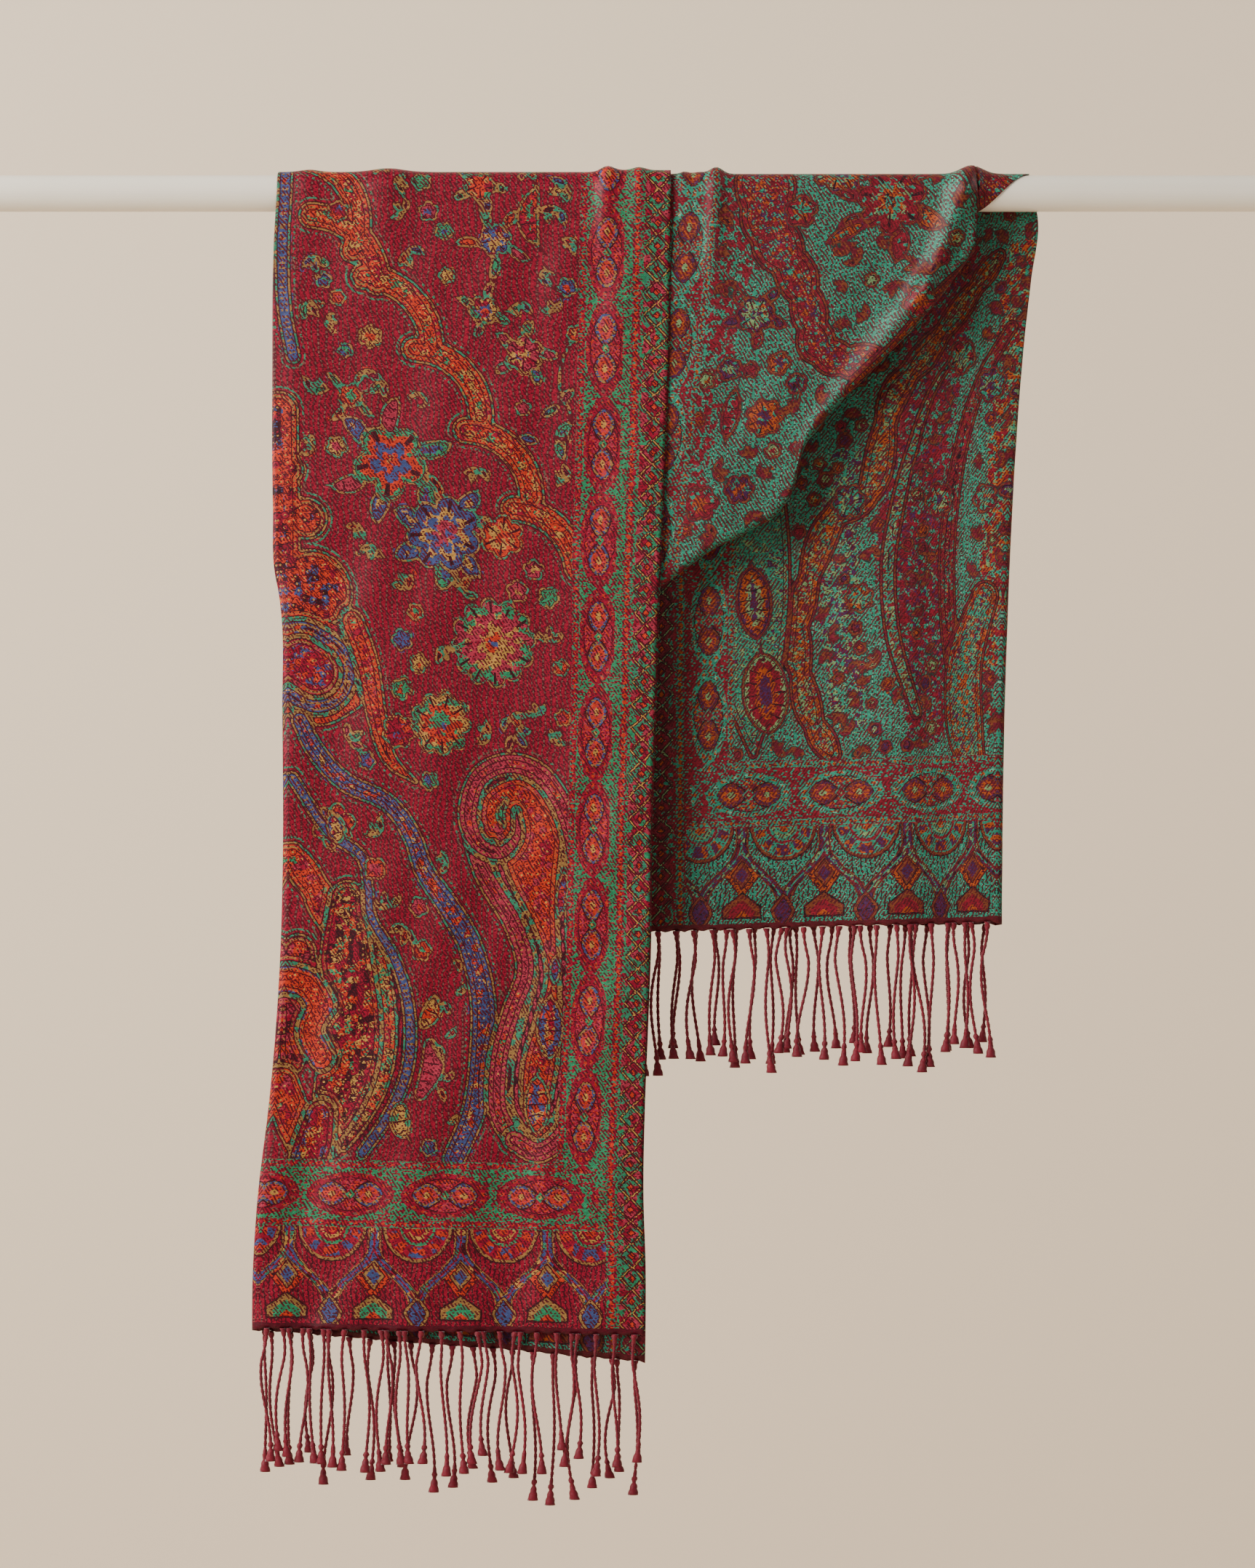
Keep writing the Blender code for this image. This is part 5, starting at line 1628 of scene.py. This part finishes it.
class ShawlColours(bpy.types.PropertyGroup):
    """Colours that a user may change"""

    red_ground: silk_colour("red", "ground", "the open ground", 138, 0, 38)
    red_second: silk_colour("red", "second", "borders and large leaves", 36, 126, 86)
    red_orange: silk_colour("red", "orange", "the warm fills", 184, 46, 20)
    red_blue: silk_colour("red", "blue", "the cool fills", 56, 68, 116)
    red_cream: silk_colour("red", "cream", "the pale fills", 172, 126, 60)
    red_pink: silk_colour("red", "pink", "bands and small leaves", 156, 40, 62)
    red_dark: silk_colour("red", "dark", "the darkest lines", 46, 0, 14)
    red_float: silk_colour("red", "float", "floats on the ground", 112, 74, 66)
    red_edge: silk_colour("red", "edge", "the edges of shapes", 140, 102, 54)
    red_edge_two: silk_colour("red", "edge two", "some edges and the lattice", 44, 118, 90)
    red_row: silk_colour("red", "row", "the wavy rows", 82, 0, 20)
    red_under: silk_colour("red", "under", "the binding that shows between", 78, 0, 22)
    green_ground: silk_colour("green", "ground", "the open ground", 36, 130, 106)
    green_second: silk_colour("green", "second", "borders and large leaves", 124, 16, 36)
    green_orange: silk_colour("green", "orange", "the warm fills", 156, 68, 20)
    green_blue: silk_colour("green", "blue", "the cool fills", 68, 26, 70)
    green_cream: silk_colour("green", "cream", "the pale fills", 108, 140, 92)
    green_pink: silk_colour("green", "pink", "bands and small leaves", 114, 32, 46)
    green_dark: silk_colour("green", "dark", "the darkest lines", 34, 12, 22)
    green_float: silk_colour("green", "float", "floats on the ground", 84, 158, 132)
    green_edge: silk_colour("green", "edge", "the edges of shapes", 112, 54, 30)
    green_edge_two: silk_colour("green", "edge two", "some edges and the lattice", 104, 20, 38)
    green_row: silk_colour("green", "row", "the wavy rows", 40, 52, 48)
    green_under: silk_colour("green", "under", "the binding that shows between", 84, 14, 26)
    fringe_dark: colour("Fringe, dark", "Darkest silk of the fringe", 62, 2, 16)
    fringe_light: colour("Fringe, light", "Lightest silk of the fringe", 134, 12, 40)
    rail_light: colour("Rail, light", "Lightest paint of the rail", 244, 236, 220)
    rail_dark: colour("Rail, dark", "Darkest paint of the rail", 232, 224, 208)
    wall: colour("Wall", "Wall and floor", 236, 219, 195)


class SHAWL_OT_materials(bpy.types.Operator):
    """Makes the silk, fringe and rail finishes"""

    bl_idname = "shawl.materials"
    bl_label = "Make finishes"

    def execute(self, context):
        group = weave_group()
        silk_material("red", 0.26, 4.6, group)
        silk_material("green", 0.3, 2.7, group)
        fringe_material()
        rail_material()
        return {"FINISHED"}


class SHAWL_OT_rail(bpy.types.Operator):
    """Paints the rail"""

    bl_idname = "shawl.rail"
    bl_label = "Paint the rail"

    def execute(self, context):
        rail = bpy.data.objects["rail"]
        for slot in rail.material_slots:
            slot.material = bpy.data.materials["Rail paint"]
        return {"FINISHED"}


class SHAWL_OT_front_fall(bpy.types.Operator):
    """Makes the two layers that hang in front, with their fringes"""

    bl_idname = "shawl.front_fall"
    bl_label = "Make the front fall"

    def execute(self, context):
        outer = front_fall_sheet("front_fall_outer", True)
        inner = front_fall_sheet("front_fall_inner", False)
        fringes = [make_fringe(fringe) for fringe in FRINGES if fringe.stretch == "front"]
        return {"FINISHED"}


class SHAWL_OT_back_fall(bpy.types.Operator):
    """Makes the two layers that hang behind, with their fringes"""

    bl_idname = "shawl.back_fall"
    bl_label = "Make the back fall"

    def execute(self, context):
        near = back_fall_sheet("back_fall_near", False)
        far = back_fall_sheet("back_fall_far", True)
        fringes = [make_fringe(fringe) for fringe in FRINGES if fringe.stretch == "back"]
        return {"FINISHED"}


class SHAWL_OT_front_swag(bpy.types.Operator):
    """Makes the swag in front, with its rolled diagonal edge"""

    bl_idname = "shawl.front_swag"
    bl_label = "Make the front swag"

    def execute(self, context):
        swag = front_swag_sheet()
        return {"FINISHED"}


class SHAWL_OT_back_swag(bpy.types.Operator):
    """Makes the swag behind"""

    bl_idname = "shawl.back_swag"
    bl_label = "Make the back swag"

    def execute(self, context):
        swag = back_swag_sheet()
        return {"FINISHED"}


def clear_from_behind(material):
    """Makes the back of the wall clear, so that the shawl can be seen from behind it."""
    nodes, links = material.node_tree.nodes, material.node_tree.links
    side = nodes.new("ShaderNodeNewGeometry")
    clear = nodes.new("ShaderNodeBsdfTransparent")
    both = nodes.new("ShaderNodeMixShader")
    links.new(side.outputs["Backfacing"], both.inputs["Fac"])
    links.new(nodes["Principled BSDF"].outputs["BSDF"], both.inputs[1])
    links.new(clear.outputs["BSDF"], both.inputs[2])
    links.new(both.outputs["Shader"], nodes["Material Output"].inputs["Surface"])


def stage_plane(name, corners, material):
    shape = bmesh.new()
    bmesh.ops.create_grid(shape, x_segments=1, y_segments=1, size=STAGE_HALF)
    mesh = bpy.data.meshes.new(name)
    for point in shape.verts:
        point.co = corners(point.co)
    shape.to_mesh(mesh)
    shape.free()
    mesh.materials.append(material)
    made = bpy.data.objects.new(name, mesh)
    bpy.context.scene.collection.objects.link(made)


# Name, place, what it points at, side, power and colour
LIGHTS = (
    ("Key", (-2.5, -1.8, 1.05), (0.0, 0, -0.4), 2.2, 224, (1.0, 0.96, 0.91)),
    ("Wall, left", (-3.0, 0.6, 1.4), (0, WALL_AWAY, -0.4), 1.4, 130, (1.0, 0.96, 0.91)),
    ("Wall, right", (3.0, 0.6, 1.4), (0, WALL_AWAY, -0.4), 1.4, 44, (1.0, 0.95, 0.89)),
    ("Fill", (1.6, -2.8, 0.2), (0, 0, -0.45), 2.2, 10, (1.0, 0.98, 0.96)),
)
WORLD_COLOUR = (250, 244, 236)
WORLD_STRENGTH = 0.27


def area_light(name, place, aim, side, power, colour):
    data = bpy.data.lights.new(name, "AREA")
    data.shape = "RECTANGLE"
    data.size, data.size_y = side, side
    data.energy = power
    data.color = colour
    light = bpy.data.objects.new(name, data)
    light.location = place
    light.rotation_euler = (Vector(aim) - Vector(place)).to_track_quat("-Z", "Y").to_euler()
    bpy.context.scene.collection.objects.link(light)


class SHAWL_OT_stage(bpy.types.Operator):
    """Sets the wall, the floor, the lights and the camera"""

    bl_idname = "shawl.stage"
    bl_label = "Set the stage"

    def execute(self, context):
        wall, _, _ = new_material("Wall", Base_Color=context.scene.shawl_colours.wall, Roughness=0.9)
        clear_from_behind(wall)
        wall_middle = STAGE_HALF + FLOOR_HEIGHT
        stage_plane("stage_wall", lambda co: Vector((co.x, WALL_AWAY, co.y + wall_middle)), wall)
        stage_plane("stage_floor", lambda co: Vector((co.x, co.y, FLOOR_HEIGHT)), wall)
        for light in LIGHTS:
            area_light(*light)
        world = bpy.data.worlds.new("Soft room")
        world.use_nodes = True
        background = world.node_tree.nodes["Background"]
        background.inputs["Color"].default_value = linear(*WORLD_COLOUR)
        background.inputs["Strength"].default_value = WORLD_STRENGTH
        context.scene.world = world
        data = bpy.data.cameras.new("Photograph view")
        data.sensor_width = SENSOR
        data.lens = SENSOR * CAMERA_AWAY / (IMAGE_HEIGHT * PIXEL)
        camera = bpy.data.objects.new("Photograph view", data)
        camera.location = (0.0, -CAMERA_AWAY, CAMERA_HEIGHT)
        camera.rotation_euler = (math.pi / 2, 0, 0)
        context.scene.collection.objects.link(camera)
        context.scene.camera = camera
        return {"FINISHED"}


class SHAWL_PT_panel(bpy.types.Panel):
    """Lists what makes the shawl"""

    bl_idname = "SHAWL_PT_panel"
    bl_label = "Shawl"
    bl_space_type = "VIEW_3D"
    bl_region_type = "UI"
    bl_category = "Shawl"

    def draw(self, context):
        for held, group in (
            (context.scene.shawl_sizes, ShawlSizes), (context.scene.shawl_colours, ShawlColours)
        ):
            for name in group.__annotations__:
                self.layout.prop(held, name)
        for operator in OPERATORS:
            self.layout.operator(operator.bl_idname)


OPERATORS = (
    SHAWL_OT_materials,
    SHAWL_OT_rail,
    SHAWL_OT_front_fall,
    SHAWL_OT_back_fall,
    SHAWL_OT_front_swag,
    SHAWL_OT_back_swag,
    SHAWL_OT_stage,
)
CLASSES = (ShawlSizes, ShawlColours, *OPERATORS, SHAWL_PT_panel)


def register():
    for made in CLASSES:
        bpy.utils.register_class(made)
    bpy.types.Scene.shawl_sizes = bpy.props.PointerProperty(type=ShawlSizes)
    bpy.types.Scene.shawl_colours = bpy.props.PointerProperty(type=ShawlColours)


def unregister():
    del bpy.types.Scene.shawl_colours
    del bpy.types.Scene.shawl_sizes
    for made in reversed(CLASSES):
        bpy.utils.unregister_class(made)


def main():
    register()
    bpy.ops.shawl.stage()
    bpy.ops.shawl.materials()
    bpy.ops.shawl.rail()
    bpy.ops.shawl.front_fall()
    bpy.ops.shawl.back_fall()
    bpy.ops.shawl.front_swag()
    bpy.ops.shawl.back_swag()


if __name__ == "__main__":
    main()
